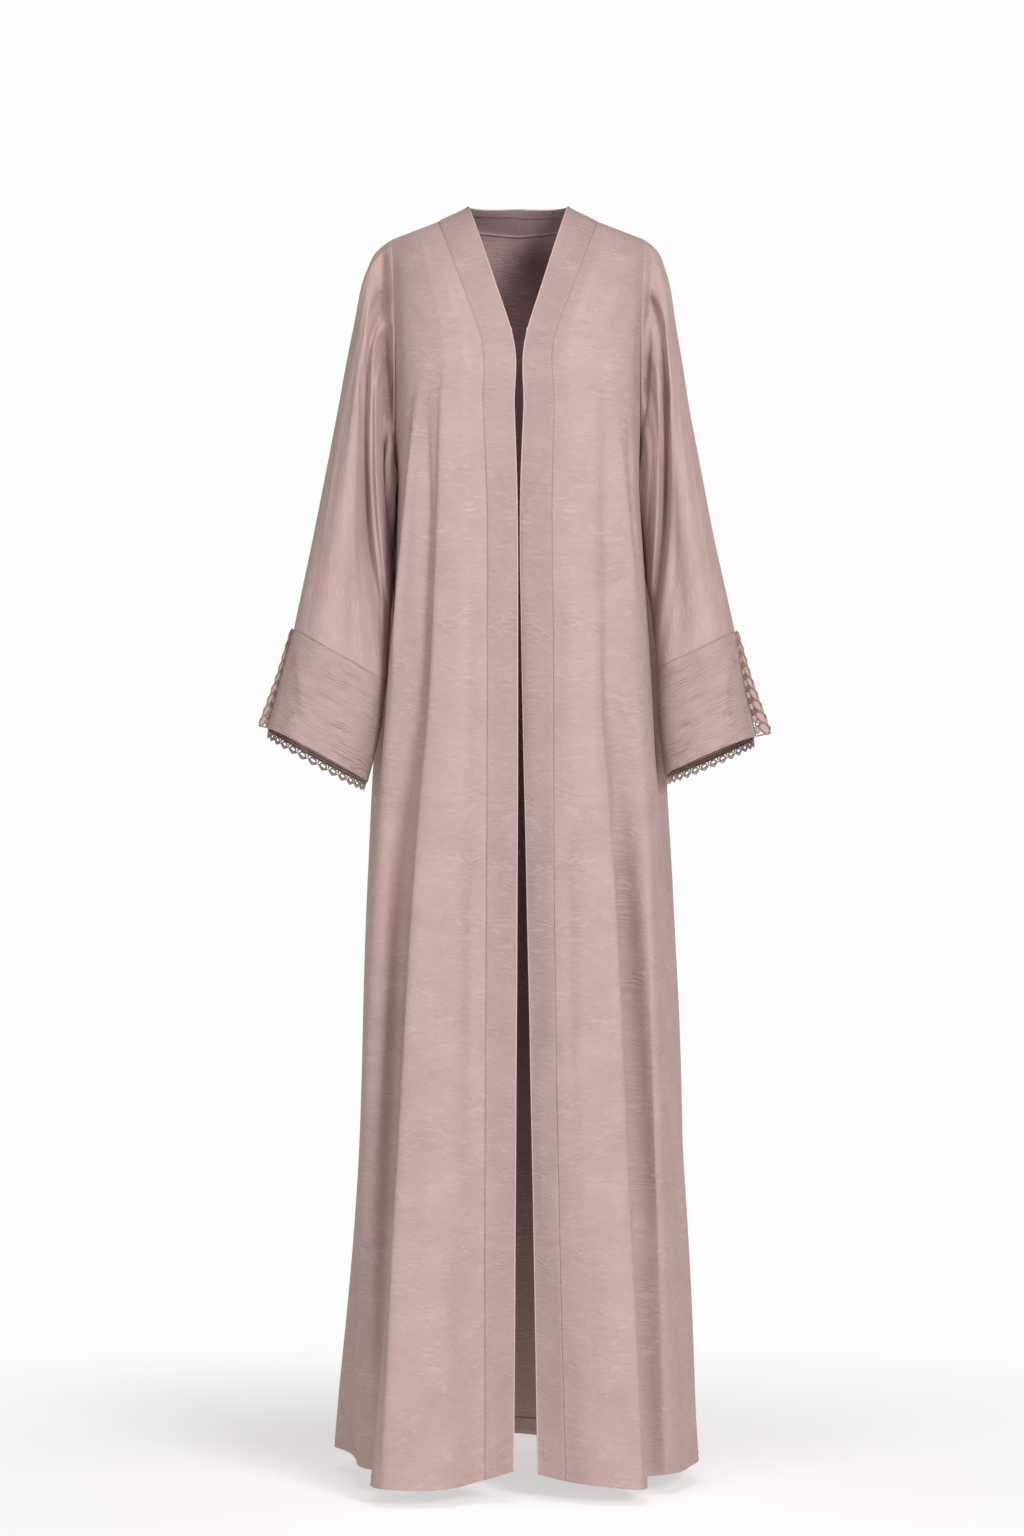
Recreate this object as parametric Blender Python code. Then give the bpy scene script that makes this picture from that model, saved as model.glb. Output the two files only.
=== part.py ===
"""Open-front abaya cloak: two fronts and a back in a long flared body, deep armholes, wide sleeves with
deep cuffs trimmed in lace, and a band that runs up one front edge, round the neck and down the other.

Each body panel is a wall of cloth between fold lines that run from the hem to the shoulder, and each sleeve is
a wall through rings. Metres, +Z up, the front faces -Y, and the origin is the middle of the neck opening at the
height of the shoulder points beside the neck, where the wearer's shoulders carry the garment.
"""

import math

import bpy
import numpy as np

# ---------------------------------------------------------------------------------------------------------
# Driving sizes, in metres
# ---------------------------------------------------------------------------------------------------------
CLOTH = 0.0018              # wall of the crepe panels
LACE = 0.0014               # wall of the lace trims
SEAM_GAP = 0.0003           # between two pieces that are sewn together
HEM_Z = -1.537              # hem below the shoulder points
KNEE_Z = -1.200
HIP_Z = -0.800
ELBOW_Z = -0.550
UNDERARM_Z = -0.346
CHEST_Z = -0.165

SHOULDER_TIP = (0.1540, 0.000, -0.0400)         # top of the armhole
BAND_AT_SHOULDER = (0.0990, 0.000, -0.0190)     # where the band's seam crosses the shoulder seam
NECK_POINT = (0.0620, 0.002, 0.0000)            # inner edge of the band on the shoulder
BACK_NECK = (0.0, 0.068, 0.0040)                # inner edge of the band at the centre back
BAND_AT_BACK = (0.0, 0.096, -0.0260)            # band seam at the centre back
BACK_NECK_LEAN = 0.9                            # rise over run of the cloth as it meets the band there
ARMHOLE_FRONT_DEPTH = 0.064
ARMHOLE_BACK_DEPTH = 0.066
ARMHOLE_WIDTH = 0.1490                          # half the body's width between the armholes

RIGHT, LEFT = -1, 1         # the wearer's right is at -X
SIDES = ((RIGHT, "right"), (LEFT, "left"))

# Share of a panel's length, from the hem up, of each height below the shoulder.
HEM_V, KNEE_V, HIP_V, ELBOW_V, UNDERARM_V, ARMHOLE_V, CHEST_V = 0.0, 0.217, 0.475, 0.637, 0.768, 0.826, 0.885
CROWN_STEPS = 4             # stations from the chest up to the shoulder seam

# Fold lines of each front, from the front edge round to the side seam: distance out from the centre (x) and
# depth (y) at six heights, how much the hem is lifted there, and how far along the shoulder seam it ends.
#            name          hem             knee            hip             elbow           underarm
#                          chest           lift   end
FRONT_LINES = {
    RIGHT: (
        ("front edge",  .0060, -.207,  .0040, -.186,  .0018, -.164,  .0012, -.154,  .0024, -.143,
                        .0083, -.120,  .015,  None),
        ("band seam",   .0393, -.202,  .0397, -.179,  .0378, -.157,  .0371, -.148,  .0380, -.141,
                        .0462, -.127,  .004,  0.00),
        ("mid panel",   .0935, -.238,  .0860, -.205,  .0740, -.176,  .0660, -.160,  .0640, -.148,
                        .0640, -.133, -.003,  0.18),
        ("main fold",   .1690, -.228,  .1420, -.198,  .1190, -.168,  .0980, -.152,  .0920, -.142,
                        .0830, -.129, -.002,  0.34),
        ("inlet",       .1660, -.112,  .1500, -.104,  .1330, -.110,  .1150, -.128,  .1070, -.131,
                        .1010, -.1215, .001,  0.47),
        ("side crest",  .1880, -.086,  .1760, -.094,  .1610, -.104,  .1480, -.112,  .1280, -.120,
                        .1170, -.111,  .002,  0.61),
        ("arm fold",    .2000, -.018,  .1850, -.040,  .1720, -.060,  .1540, -.066,  .1400, -.088,
                        .1380, -.092,  .004,  0.80),
        ("side seam",   .2080,  .029,  .1900,  .006,  .1770, -.008,  .1550, -.006,  .1490,  .000,
                        .1490, -.064,  .004,  1.00),
    ),
    LEFT: (
        ("front edge",  .0239, -.176,  .0184, -.162,  .0102, -.147,  .0048, -.141,  .0036, -.136,
                        .0110, -.118,  .007,  None),
        ("band seam",   .0559, -.192,  .0480, -.176,  .0424, -.160,  .0419, -.152,  .0407, -.144,
                        .0448, -.128,  .001,  0.00),
        ("mid panel",   .0890, -.214,  .0800, -.189,  .0720, -.168,  .0660, -.158,  .0640, -.147,
                        .0640, -.133, -.001,  0.18),
        ("main fold",   .1480, -.212,  .1290, -.184,  .1090, -.160,  .0930, -.1515, .0900, -.142,
                        .0830, -.129, -.006,  0.34),
        ("inlet",       .1560, -.136,  .1390, -.126,  .1220, -.122,  .1120, -.140,  .1070, -.134,
                        .1010, -.1215, -.003, 0.47),
        ("side crest",  .1780, -.132,  .1680, -.126,  .1550, -.121,  .1420, -.127,  .1330, -.118,
                        .1170, -.111,  .000,  0.61),
        ("arm fold",    .1900, -.118,  .1800, -.104,  .1690, -.086,  .1580, -.086,  .1440, -.088,
                        .1380, -.092,  .000,  0.80),
        ("side seam",   .1980, -.104,  .1870, -.072,  .1770, -.036,  .1600, -.016,  .1490,  .000,
                        .1490, -.064,  .000,  1.00),
    ),
}

# Fold lines of each half of the back, from the side seam round to the centre, in the same columns. The last
# column is how far along its top edge the line ends: 0 at the shoulder tip, 1 at the centre back.
BACK_LINES = {
    RIGHT: (
        ("side crest",    .2275,  .078,  .1990,  .052,  .1840,  .036,  .1690,  .042,  .1515,  .051,
                          .1430,  .080,  .005,  0.14),
        ("side hollow",   .1980,  .122,  .1800,  .104,  .1640,  .090,  .1500,  .086,  .1430,  .085,
                          .1340,  .096,  .002,  0.28),
        ("shoulder fold", .1740,  .186,  .1560,  .158,  .1380,  .132,  .1250,  .118,  .1180,  .106,
                          .1120,  .105,  .000,  0.40),
        ("blade hollow",  .1290,  .184,  .1190,  .156,  .1060,  .132,  .0980,  .120,  .0930,  .112,
                          .0880,  .110,  .000,  0.53),
        ("blade fold",    .0890,  .234,  .0820,  .192,  .0740,  .155,  .0680,  .136,  .0640,  .120,
                          .0600,  .112,  .000,  0.68),
        ("spine hollow",  .0430,  .209,  .0400,  .177,  .0360,  .146,  .0340,  .130,  .0320,  .118,
                          .0300,  .111,  .000,  0.84),
        ("centre fold",   .0000,  .240,  .0000,  .197,  .0000,  .160,  .0000,  .140,  .0000,  .122,
                          .0000,  .110,  .000,  1.00),
    ),
    LEFT: (
        ("side crest",    .2195, -.030,  .2050, -.010,  .1890,  .012,  .1740,  .036,  .1515,  .051,
                          .1430,  .080,  .002,  0.14),
        ("side hollow",   .2090,  .076,  .1910,  .074,  .1710,  .078,  .1510,  .084,  .1430,  .085,
                          .1340,  .096,  .001,  0.28),
        ("shoulder fold", .1820,  .170,  .1610,  .148,  .1400,  .128,  .1250,  .117,  .1180,  .106,
                          .1120,  .105,  .000,  0.40),
        ("blade hollow",  .1350,  .176,  .1220,  .153,  .1080,  .131,  .0980,  .120,  .0930,  .112,
                          .0880,  .110,  .000,  0.53),
        ("blade fold",    .0930,  .229,  .0840,  .190,  .0740,  .155,  .0680,  .136,  .0640,  .120,
                          .0600,  .112,  .000,  0.68),
        ("spine hollow",  .0470,  .207,  .0420,  .176,  .0360,  .146,  .0340,  .130,  .0320,  .118,
                          .0300,  .111,  .000,  0.84),
        ("centre fold",   .0000,  .240,  .0000,  .197,  .0000,  .160,  .0000,  .140,  .0000,  .122,
                          .0000,  .110,  .000,  1.00),
    ),
}
BAND_CORNER = 3             # the line of the back that ends where the band's seam crosses the shoulder seam

# Rings of each sleeve and cuff. Outer is the line that runs on from the shoulder, under is the line that runs on
# from the underarm. Front and back are how deep the ring reaches, and middle is the depth of those two lines.
#             along    outer x  outer z   under x  under z   front    middle   back
SLEEVE_RINGS = {
    RIGHT: (
        (0.05,   .1725,  -.0540,   .1510,  -.3520,   -.0750,   .003,   .074),
        (0.12,   .1853,  -.0777,   .1530,  -.3660,   -.0820,   .004,   .077),
        (0.30,   .2020,  -.1500,   .1545,  -.4000,   -.0880,  -.004,   .069),
        (0.52,   .2225,  -.2620,   .1560,  -.4480,   -.0900,  -.016,   .050),
        (0.76,   .2480,  -.3980,   .1565,  -.5140,   -.1000,  -.036,   .026),
        (1.00,   .2730,  -.5204,   .1600,  -.5831,   -.1080,  -.052,   .004),
    ),
    LEFT: (
        (0.05,   .1700,  -.0540,   .1510,  -.3520,   -.0750,   .003,   .074),
        (0.12,   .1804,  -.0777,   .1535,  -.3660,   -.0820,   .004,   .077),
        (0.30,   .1945,  -.1500,   .1565,  -.4000,   -.0880,  -.004,   .069),
        (0.52,   .2125,  -.2620,   .1605,  -.4450,   -.0900,  -.016,   .050),
        (0.76,   .2370,  -.3980,   .1645,  -.5080,   -.1000,  -.036,   .026),
        (1.00,   .2631,  -.5234,   .1692,  -.5673,   -.1080,  -.052,   .004),
    ),
}
CUFF_RINGS = {
    RIGHT: (
        (0.00,   .2730,  -.5204,   .1600,  -.5831,   -.1080,  -.052,   .004),
        (0.50,   .2880,  -.5800,   .1680,  -.6460,   -.1110,  -.054,   .003),
        (1.00,   .3052,  -.6404,   .1826,  -.7060,   -.1130,  -.056,   .001),
    ),
    LEFT: (
        (0.00,   .2631,  -.5234,   .1692,  -.5673,   -.1080,  -.052,   .004),
        (0.50,   .2745,  -.5870,   .1715,  -.6350,   -.1110,  -.054,   .003),
        (1.00,   .2882,  -.6513,   .1780,  -.6975,   -.1130,  -.056,   .001),
    ),
}
CUFF_TILT = 0.005           # the front of the cuff's hem is this much above its middle, and the back below

# Long folds of the sleeve: where round the ring (degrees from the outer line, front first), how far they stand
# out near the shoulder, halfway and at the cuff, and half their width in degrees.
#              round   shoulder  middle    cuff    half width
SLEEVE_FOLDS = (
    ("front ridge",     66,   .004,   .008,   .002,   20),
    ("front hollow",   104,  -.004,  -.010,  -.003,   22),
    ("under ridge",    146,   .002,   .004,   .002,   20),
    ("back ridge",     296,   .003,   .007,   .002,   22),
    ("back hollow",    254,  -.003,  -.009,  -.003,   24),
    ("outer hollow",   326,   .000,  -.004,  -.001,   16),
)

# Lace down the outer edge of a cuff: how wide it is at the cuff seam, halfway and at the hem.
SIDE_LACE_WIDTH = {RIGHT: (0.0030, 0.0070, 0.0125), LEFT: (0.0040, 0.0125, 0.0235)}
SIDE_LACE_REPEATS = 9
SIDE_LACE_SCALLOP = 0.0012
# Lace along the back half of a cuff's hem.
HEM_LACE_DROP = 0.0100
HEM_LACE_REPEATS = 14
HEM_LACE_SCALLOP = 0.0022
SMALLEST_GAP = 0.0042       # a gap in the lace narrower than this is left closed

# Rows of every body panel: number of steps between two heights. Columns: number between two fold lines.
ROW_STEPS = (
    (HEM_V, KNEE_V, 4),
    (KNEE_V, HIP_V, 4),
    (HIP_V, ELBOW_V, 3),
    (ELBOW_V, UNDERARM_V, 3),
    (UNDERARM_V, CHEST_V, 4),
    (CHEST_V, 1.0, 5),
)
# The body panels and the band are stacked solids that meet edge to edge at these heights.
PANEL_SPLITS = (("skirt", HEM_V, HIP_V), ("waist", HIP_V, UNDERARM_V), ("chest", UNDERARM_V, 1.0))
BAND_SPLITS = (("skirt", HEM_V, HIP_V), ("waist", HIP_V, CHEST_V), ("neck", CHEST_V, None))
FRONT_COLUMNS = (3, 3, 3, 3, 3, 2, 2)
BACK_COLUMNS = (2, 3, 3, 3, 3, 3, 3)
SLEEVE_STEPS = (0.0, 0.05, 0.12, 0.2, 0.3, 0.42, 0.55, 0.7, 0.85, 1.0)
RING_DEGREES = np.arange(0.0, 360.0, 15.0)
CUFF_STEPS = (0.0, 0.33, 0.67, 1.0)

# ---------------------------------------------------------------------------------------------------------
# Curves
# ---------------------------------------------------------------------------------------------------------


def through(knots, points, at, corners=()):
    """A cubic through the points at the knots, read at the values in at. Its slope at a knot blends those of the
    two chords beside it, and at a corner each side keeps the slope of its own chord."""
    knots, points, at = np.asarray(knots, float), np.asarray(points, float), np.asarray(at, float)
    flat = [1] * (points.ndim - 1)
    step = np.diff(knots)
    chord = np.diff(points, axis=0) / step.reshape(-1, *flat)
    before, after = np.concatenate([chord[:1], chord]), np.concatenate([chord, chord[-1:]])
    left, right = np.concatenate([step[:1], step]), np.concatenate([step, step[-1:]])
    share = (left / (left + right)).reshape(-1, *flat)
    arrive = before * (1 - share) + after * share
    leave = arrive.copy()
    for k in corners:
        arrive[k], leave[k] = before[k], after[k]
    k = np.clip(np.searchsorted(knots, at, side="right") - 1, 0, len(knots) - 2)
    wide = step[k].reshape(-1, *flat)
    t = ((at - knots[k]) / step[k]).reshape(-1, *flat)
    return (
        points[k] * (2 * t**3 - 3 * t**2 + 1)
        + leave[k] * wide * (t**3 - 2 * t**2 + t)
        + points[k + 1] * (3 * t**2 - 2 * t**3)
        + arrive[k + 1] * wide * (t**3 - t**2)
    )


def unit(vectors):
    return vectors / np.maximum(np.linalg.norm(vectors, axis=-1, keepdims=True), 1e-12)


def mirrored(point, side):
    return np.array([side * point[0], point[1], point[2]])


def crown(low, high, lean=0.0):
    """Stations on a quarter of an oval that leaves low upright and comes to high at the given rise over run. Its
    distance from the centre changes evenly with its height."""
    low, high = np.asarray(low, float), np.asarray(high, float)
    corner = np.array([0, low[1], high[2] - lean * abs(high[1] - low[1])])
    corner[0] = low[0] + (high[0] - low[0]) * (corner[2] - low[2]) / (high[2] - low[2])
    t = np.arange(1, CROWN_STEPS + 1)[:, None] / CROWN_STEPS
    weights = (1 - t) ** 2, math.sqrt(2) * t * (1 - t), t**2
    return (weights[0] * low + weights[1] * corner + weights[2] * high) / sum(weights)


# ---------------------------------------------------------------------------------------------------------
# The master surface of the body
# ---------------------------------------------------------------------------------------------------------
STATION_V = [HEM_V, KNEE_V, HIP_V, ELBOW_V, UNDERARM_V, ARMHOLE_V, CHEST_V]
STATION_V += [CHEST_V + (1 - CHEST_V) * k / CROWN_STEPS for k in range(1, CROWN_STEPS + 1)]
UNDERARM, CHEST = 4, 6      # stations


def shoulder_seam(side, share):
    """A point of the shoulder seam, from the band seam (0) to the shoulder tip (1)."""
    a, b = np.array(BAND_AT_SHOULDER), np.array(SHOULDER_TIP)
    return mirrored(a + (b - a) * share, side)


def shoulder_normal(side):
    """Square to the shoulder seam, straight up and out."""
    run = shoulder_seam(side, 1) - shoulder_seam(side, 0)
    return unit(np.array([-run[2], 0, run[0]]) * side)


def round_neck(side, share, shoulder, centre):
    """A point of a quarter oval round the back of the neck, from the shoulder (0) to the centre back (1)."""
    turn = math.radians(90 * share)
    x = shoulder[0] * math.cos(turn)
    y = shoulder[1] + (centre[1] - shoulder[1]) * math.sin(turn)
    z = shoulder[2] + (centre[2] - shoulder[2]) * (1 - math.cos(turn))
    return mirrored((x, y, z), side)


def back_top(side, share):
    """A point of the back's top edge and the cloth's lean there: the shoulder seam from its tip, then the band
    seam to the centre."""
    turn = BACK_LINES[side][BAND_CORNER - 1][-1]
    if share <= turn:
        return shoulder_seam(side, 1 - share / turn), 0.0
    share = (share - turn) / (1 - turn)
    lean = BACK_NECK_LEAN * math.sin(math.radians(90 * share))
    return round_neck(side, share, BAND_AT_SHOULDER, BAND_AT_BACK), lean


def fold_line(side, row, top, lean=0.0):
    """The stations of one fold line, hem first."""
    heights = HEM_Z + row[13], KNEE_Z, HIP_Z, ELBOW_Z, UNDERARM_Z, CHEST_Z
    made = [np.array([side * row[2 * k + 1], row[2 * k + 2], z]) for k, z in enumerate(heights)]
    made.insert(UNDERARM + 1, (made[UNDERARM] + made[UNDERARM + 1]) / 2)
    return np.array([*made, *crown(made[-1], top, lean)])


def armhole_line(side, facing):
    """The stations of the line that is the side seam below the underarm and the armhole above it. Facing is -1
    for the front half of the armhole and 1 for the back half."""
    line = fold_line(side, FRONT_LINES[side][-1], mirrored(SHOULDER_TIP, side))
    depth = ARMHOLE_FRONT_DEPTH if facing < 0 else ARMHOLE_BACK_DEPTH
    low_z = CHEST_Z + (UNDERARM_Z - CHEST_Z) * math.sqrt(0.5)
    line[UNDERARM + 1] = [side * ARMHOLE_WIDTH, facing * depth * math.sqrt(0.5), low_z]
    line[CHEST] = [side * ARMHOLE_WIDTH, facing * depth, CHEST_Z]
    line[CHEST + 1 :] = crown(line[CHEST], mirrored(SHOULDER_TIP, side))
    return line


def read_line(line, v, corner=False):
    return through(STATION_V, line, v, corners=(UNDERARM,) if corner else ())


class Sheet:
    """A surface through fold lines, with a guide line beyond a side seam so that the cloth runs on smoothly. A
    place across it is counted in lines: 2.5 is halfway from line 2 to line 3. Tops gives the point of the top
    seam at a place, and from the chest up the cloth is eased so that it ends on that seam."""

    def __init__(self, lines, seams, tops, before=None, after=None):
        self.lines, self.seams, self.extra = lines, seams, 0 if before is None else 1
        self.tops = tops
        self.all = [line for line in (before, *lines, after) if line is not None]
        steps = [np.linalg.norm((b - a)[:UNDERARM], axis=1).mean() for a, b in zip(self.all, self.all[1:])]
        self.knots = np.concatenate([[0], np.cumsum(steps)])

    def at(self, across, v):
        """Points on the grid of the two lists, as an array (across, v, 3)."""
        curves = [read_line(line, v, k - self.extra in self.seams) for k, line in enumerate(self.all)]
        place = np.interp(np.asarray(across) + self.extra, range(len(self.all)), self.knots)
        points = through(self.knots, curves, place)
        ends = np.array([line[-1] for line in self.all])
        miss = np.array([self.tops(p) for p in across]) - through(self.knots, ends, place)
        ease = np.clip((np.asarray(v) - CHEST_V) / (1 - CHEST_V), 0, 1) ** 2
        return points + miss[:, None] * ease[:, None]

    def normals(self, across, v):
        """Unit normals on the same grid, from short steps each way that stay on the cloth."""
        across, v = np.asarray(across, float), np.asarray(v, float)
        last = len(self.all) - 1 - self.extra
        e = 0.03
        du = self.at(np.minimum(across + e, last), v) - self.at(np.maximum(across - e, -self.extra), v)
        dv = self.at(across, np.minimum(v + e / 8, 1)) - self.at(across, np.maximum(v - e / 8, 0))
        return unit(np.cross(du, dv))


def beyond_seam(side, row, top, seam, inside):
    """A guide line past a side seam: a fold line of the next panel up to the underarm, and above it a line that
    carries on the slope of this panel."""
    line = fold_line(side, row, top)
    line[UNDERARM + 1 :] = (2 * seam - inside)[UNDERARM + 1 :]
    return line


def front_sheet(side):
    """Front edge to side seam."""
    rows = FRONT_LINES[side]
    edge = fold_line(side, rows[0], mirrored(NECK_POINT, side))
    lines = [edge, *[fold_line(side, row, shoulder_seam(side, row[-1])) for row in rows[1:-1]]]
    seam = armhole_line(side, -1)
    row = BACK_LINES[side][0]
    after = beyond_seam(side, row, back_top(side, row[-1])[0], seam, lines[-1])
    shares = [row[-1] for row in rows[1:]]

    def tops(place):
        if place < 1:
            return lines[0][-1] * (1 - place) + lines[1][-1] * place
        return shoulder_seam(side, np.interp(place, range(1, len(rows)), shares))

    return Sheet([*lines, seam], seams={len(lines)}, tops=tops, after=after)


def back_sheet():
    """Right side seam round the back to the left side seam."""
    halves, guides = {}, {}
    for side, _ in SIDES:
        seam = armhole_line(side, 1)
        halves[side] = [seam, *[fold_line(side, row, *back_top(side, row[-1])) for row in BACK_LINES[side]]]
        row = FRONT_LINES[side][-2]
        guides[side] = beyond_seam(side, row, shoulder_seam(side, row[-1]), seam, halves[side][1])
    lines = halves[RIGHT] + halves[LEFT][-2::-1]
    shares = [0.0, *[row[-1] for row in BACK_LINES[RIGHT]]]
    middle = len(shares) - 1

    def tops(place):
        side = RIGHT if place <= middle else LEFT
        return back_top(side, np.interp(middle - abs(place - middle), range(len(shares)), shares))[0]

    return Sheet(lines, seams={0, len(lines) - 1}, tops=tops, before=guides[RIGHT], after=guides[LEFT])


# ---------------------------------------------------------------------------------------------------------
# Sleeves and cuffs
# ---------------------------------------------------------------------------------------------------------


def armhole_ring(side, degrees):
    """Points just outside the armhole, round from the shoulder tip over the front, underarm and back."""
    points = []
    for angle in np.asarray(degrees) % 360:
        half = min(angle, 360 - angle) / 90
        v = 1 - (1 - CHEST_V) * half if half <= 1 else CHEST_V - (CHEST_V - UNDERARM_V) * (half - 1)
        points.append(read_line(armhole_line(side, -1 if angle <= 180 else 1), [v], True)[0])
    return np.array(points) + [side * 2 * SEAM_GAP, 0, 0]


def ring(side, row, degrees, tilt=0.0):
    """Points of one ring: an oval whose long axis runs from the outer line to the under line."""
    _, outer_x, outer_z, under_x, under_z, front, middle, back = row
    along, across = np.cos(np.radians(degrees)), np.sin(np.radians(degrees))
    x = (outer_x + under_x) / 2 + (outer_x - under_x) / 2 * along
    z = (outer_z + under_z) / 2 + (outer_z - under_z) / 2 * along
    y = middle + np.where(across > 0, front - middle, middle - back) * across
    return np.stack([side * x, y, z + tilt * across], axis=-1)


def sleeve_folds(degrees, along):
    """How far the sleeve's long folds stand out, (round, along)."""
    out = np.zeros((len(degrees), len(along)))
    for _, place, shoulder, middle, cuff, half_width in SLEEVE_FOLDS:
        away = (np.asarray(degrees) - place + 180) % 360 - 180
        heights = through([0, 0.12, 0.5, 1], [0, shoulder, middle, cuff], along)
        out += np.outer(np.exp(-((away / half_width) ** 2)), heights)
    return out


def tube(rings, knots, along, folds):
    """Points of a tube through the rings, (round, along, 3), with the folds stood out from its middle line."""
    points = through(knots, rings, along).transpose(1, 0, 2)
    middle = points.mean(axis=0, keepdims=True)
    return points + unit(points - middle) * folds[..., None]


def sleeve_surface(side, degrees, along):
    rows = SLEEVE_RINGS[side]
    rings = [armhole_ring(side, degrees), *[ring(side, row, degrees) for row in rows]]
    return tube(rings, [0.0, *[row[0] for row in rows]], along, sleeve_folds(degrees, along))


def cuff_surface(side, degrees, along):
    """The cuff, whose first ring carries on the sleeve's folds and lets them die away towards the hem."""
    rows = CUFF_RINGS[side]
    rings = [ring(side, row, degrees, CUFF_TILT * row[0]) for row in rows]
    folds = sleeve_folds(degrees, [1.0]) * (1 - np.asarray(along) * 0.7)
    return tube(rings, [row[0] for row in rows], along, folds)


def tube_normals(surface, side, degrees, along):
    """Outward unit normals of a sleeve or cuff, from short steps either way."""
    round_step = surface(side, degrees + 1, along) - surface(side, degrees - 1, along)
    e = 0.01
    along_step = surface(side, degrees, np.minimum(along + e, 1)) - surface(side, degrees, np.maximum(along - e, 0))
    return unit(np.cross(round_step, along_step)) * side


# ---------------------------------------------------------------------------------------------------------
# Walls
# ---------------------------------------------------------------------------------------------------------


def cloth(name, colour):
    made = bpy.data.materials.new(name)
    made.use_nodes = True
    shader = made.node_tree.nodes["Principled BSDF"]
    shader.inputs["Base Color"].default_value = (*colour, 1)
    shader.inputs["Roughness"].default_value = 0.75
    return made


def wall(name, outer, inner, material, keep=None, closed=False):
    """A closed solid between two grids of points, (across, along, 3). Keep says which cells of the grid are
    cloth, and the rest are gaps cut through. A closed wall joins its last row to its first."""
    if closed:
        outer, inner = np.concatenate([outer, outer[:1]]), np.concatenate([inner, inner[:1]])
    n, m = outer.shape[:2]
    index = np.arange(n * m).reshape(n, m)
    if closed:
        index[-1] = index[0]
    keep = np.ones((n - 1, m - 1), bool) if keep is None else keep
    a, b, c, d = index[:-1, :-1][keep], index[1:, :-1][keep], index[1:, 1:][keep], index[:-1, 1:][keep]
    under = n * m
    faces = [np.stack([a, b, c, d], -1), np.stack([d, c, b, a], -1) + under]
    edges = np.concatenate([np.stack(pair, -1) for pair in ((a, b), (b, c), (c, d), (d, a))])
    have = {tuple(edge) for edge in edges.tolist()}
    rim = np.array([edge for edge in edges.tolist() if tuple(edge[::-1]) not in have])
    faces.append(np.stack([rim[:, 1], rim[:, 0], rim[:, 0] + under, rim[:, 1] + under], -1))
    faces = np.concatenate(faces)
    used, faces = np.unique(faces, return_inverse=True)
    points = np.concatenate([outer.reshape(-1, 3), inner.reshape(-1, 3)])[used]
    mesh = bpy.data.meshes.new(name)
    mesh.from_pydata(points.tolist(), [], faces.reshape(-1, 4).tolist())
    mesh.update()
    mesh.calc_loop_triangles()
    corners = points[np.array([t.vertices for t in mesh.loop_triangles])]
    if np.linalg.det(corners).sum() < 0:
        mesh.flip_normals()
    mesh.materials.append(material)
    mesh.shade_smooth()
    mesh.set_sharp_from_angle(angle=math.radians(50))
    made = bpy.data.objects.new(name, mesh)
    bpy.context.scene.collection.objects.link(made)
    return made


def drawn_in(grid, *edges):
    """The grid with the named edges moved along the cloth by half a seam gap."""
    grid = grid.copy()
    views = {"first": grid, "last": grid[::-1], "bottom": grid.swapaxes(0, 1), "top": grid.swapaxes(0, 1)[::-1]}
    for edge in edges:
        rows = views[edge]
        rows[0] += unit(rows[1] - rows[0]) * SEAM_GAP / 2
    return grid


def panel_walls(name, splits, outer, normals, material, *sides):
    """The stacked solids of a long panel, drawn in along its sides, its top and where they meet."""
    inner = outer - normals * CLOTH
    for place, low, high in splits:
        first = np.searchsorted(heights, low)
        last = outer.shape[1] if high is None else np.searchsorted(heights, high) + 1
        edges = (*sides, "top", "bottom") if first else (*sides, "top")
        shells = [drawn_in(shell[:, first:last], *edges) for shell in (outer, inner)]
        wall(f"{name}_{place}", *shells, material)


def spread(counts):
    """Places across a sheet, with so many columns between each two fold lines."""
    return np.array([*[k + j / n for k, n in enumerate(counts) for j in range(n)], len(counts)])


def panel_rows():
    return np.array([*[a + (b - a) * k / n for a, b, n in ROW_STEPS for k in range(n)], 1.0])


def band_behind_neck(side, sheet, across):
    """The band's edges from the shoulder seam to the centre back, (2, places, 3): the neck's edge, then the
    seam with the back panel, and the normals of the strip between them at each place."""
    seam = sheet.at(across, [1.0])[:, 0]
    start, end = seam[0], seam[-1]
    turn = np.linspace(0, 1, len(across))
    share = np.degrees(np.arctan2(seam[:, 1] / end[1], seam[:, 0] / start[0])) / 90
    neck = np.array([round_neck(side, s, NECK_POINT, BACK_NECK) for s in np.where(turn == 1, 1, share)])
    run = np.gradient(seam, axis=0)
    run[0] = [0, 1, 0]
    run[-1] = [-side, 0, 0]
    normals = unit(np.cross(neck - seam, run)) * side
    normals[0] = shoulder_normal(side)
    return np.array([neck, seam]), normals * np.sign(normals[:, 2:])


# ---------------------------------------------------------------------------------------------------------
# Lace
# ---------------------------------------------------------------------------------------------------------


def lace_grid(repeats, drop, scallop):
    """Places along and across a strip of lace, and which cells are cloth. Each repeat is five cells long and
    three deep with an eight-sided gap in the middle, and its far edge is scalloped."""
    along, down, keep = [], [], []
    length = 1.0 / repeats
    for r in range(repeats):
        middle = (r + 0.5) * length
        wide = drop(middle)
        open_here = 0.42 * wide > SMALLEST_GAP * 0.62
        for k, place in enumerate((0.0, 0.2, 0.36, 0.64, 0.8)):
            at = (r + place) * length
            bow = abs(math.sin(math.pi * place))
            side_row = k in (1, 4)
            top, low = (0.40, 0.62) if side_row else (0.24, 0.78)
            along.append(at)
            down.append([0.0, top * drop(at), low * drop(at), drop(at) + scallop * (bow - 1)])
            keep.append([True, not (open_here and k in (1, 2, 3)), True])
    along.append(1.0)
    down.append([0.0, 0.24 * drop(1.0), 0.78 * drop(1.0), drop(1.0) - scallop])
    return np.array(along), np.array(down), np.array(keep)


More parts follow.
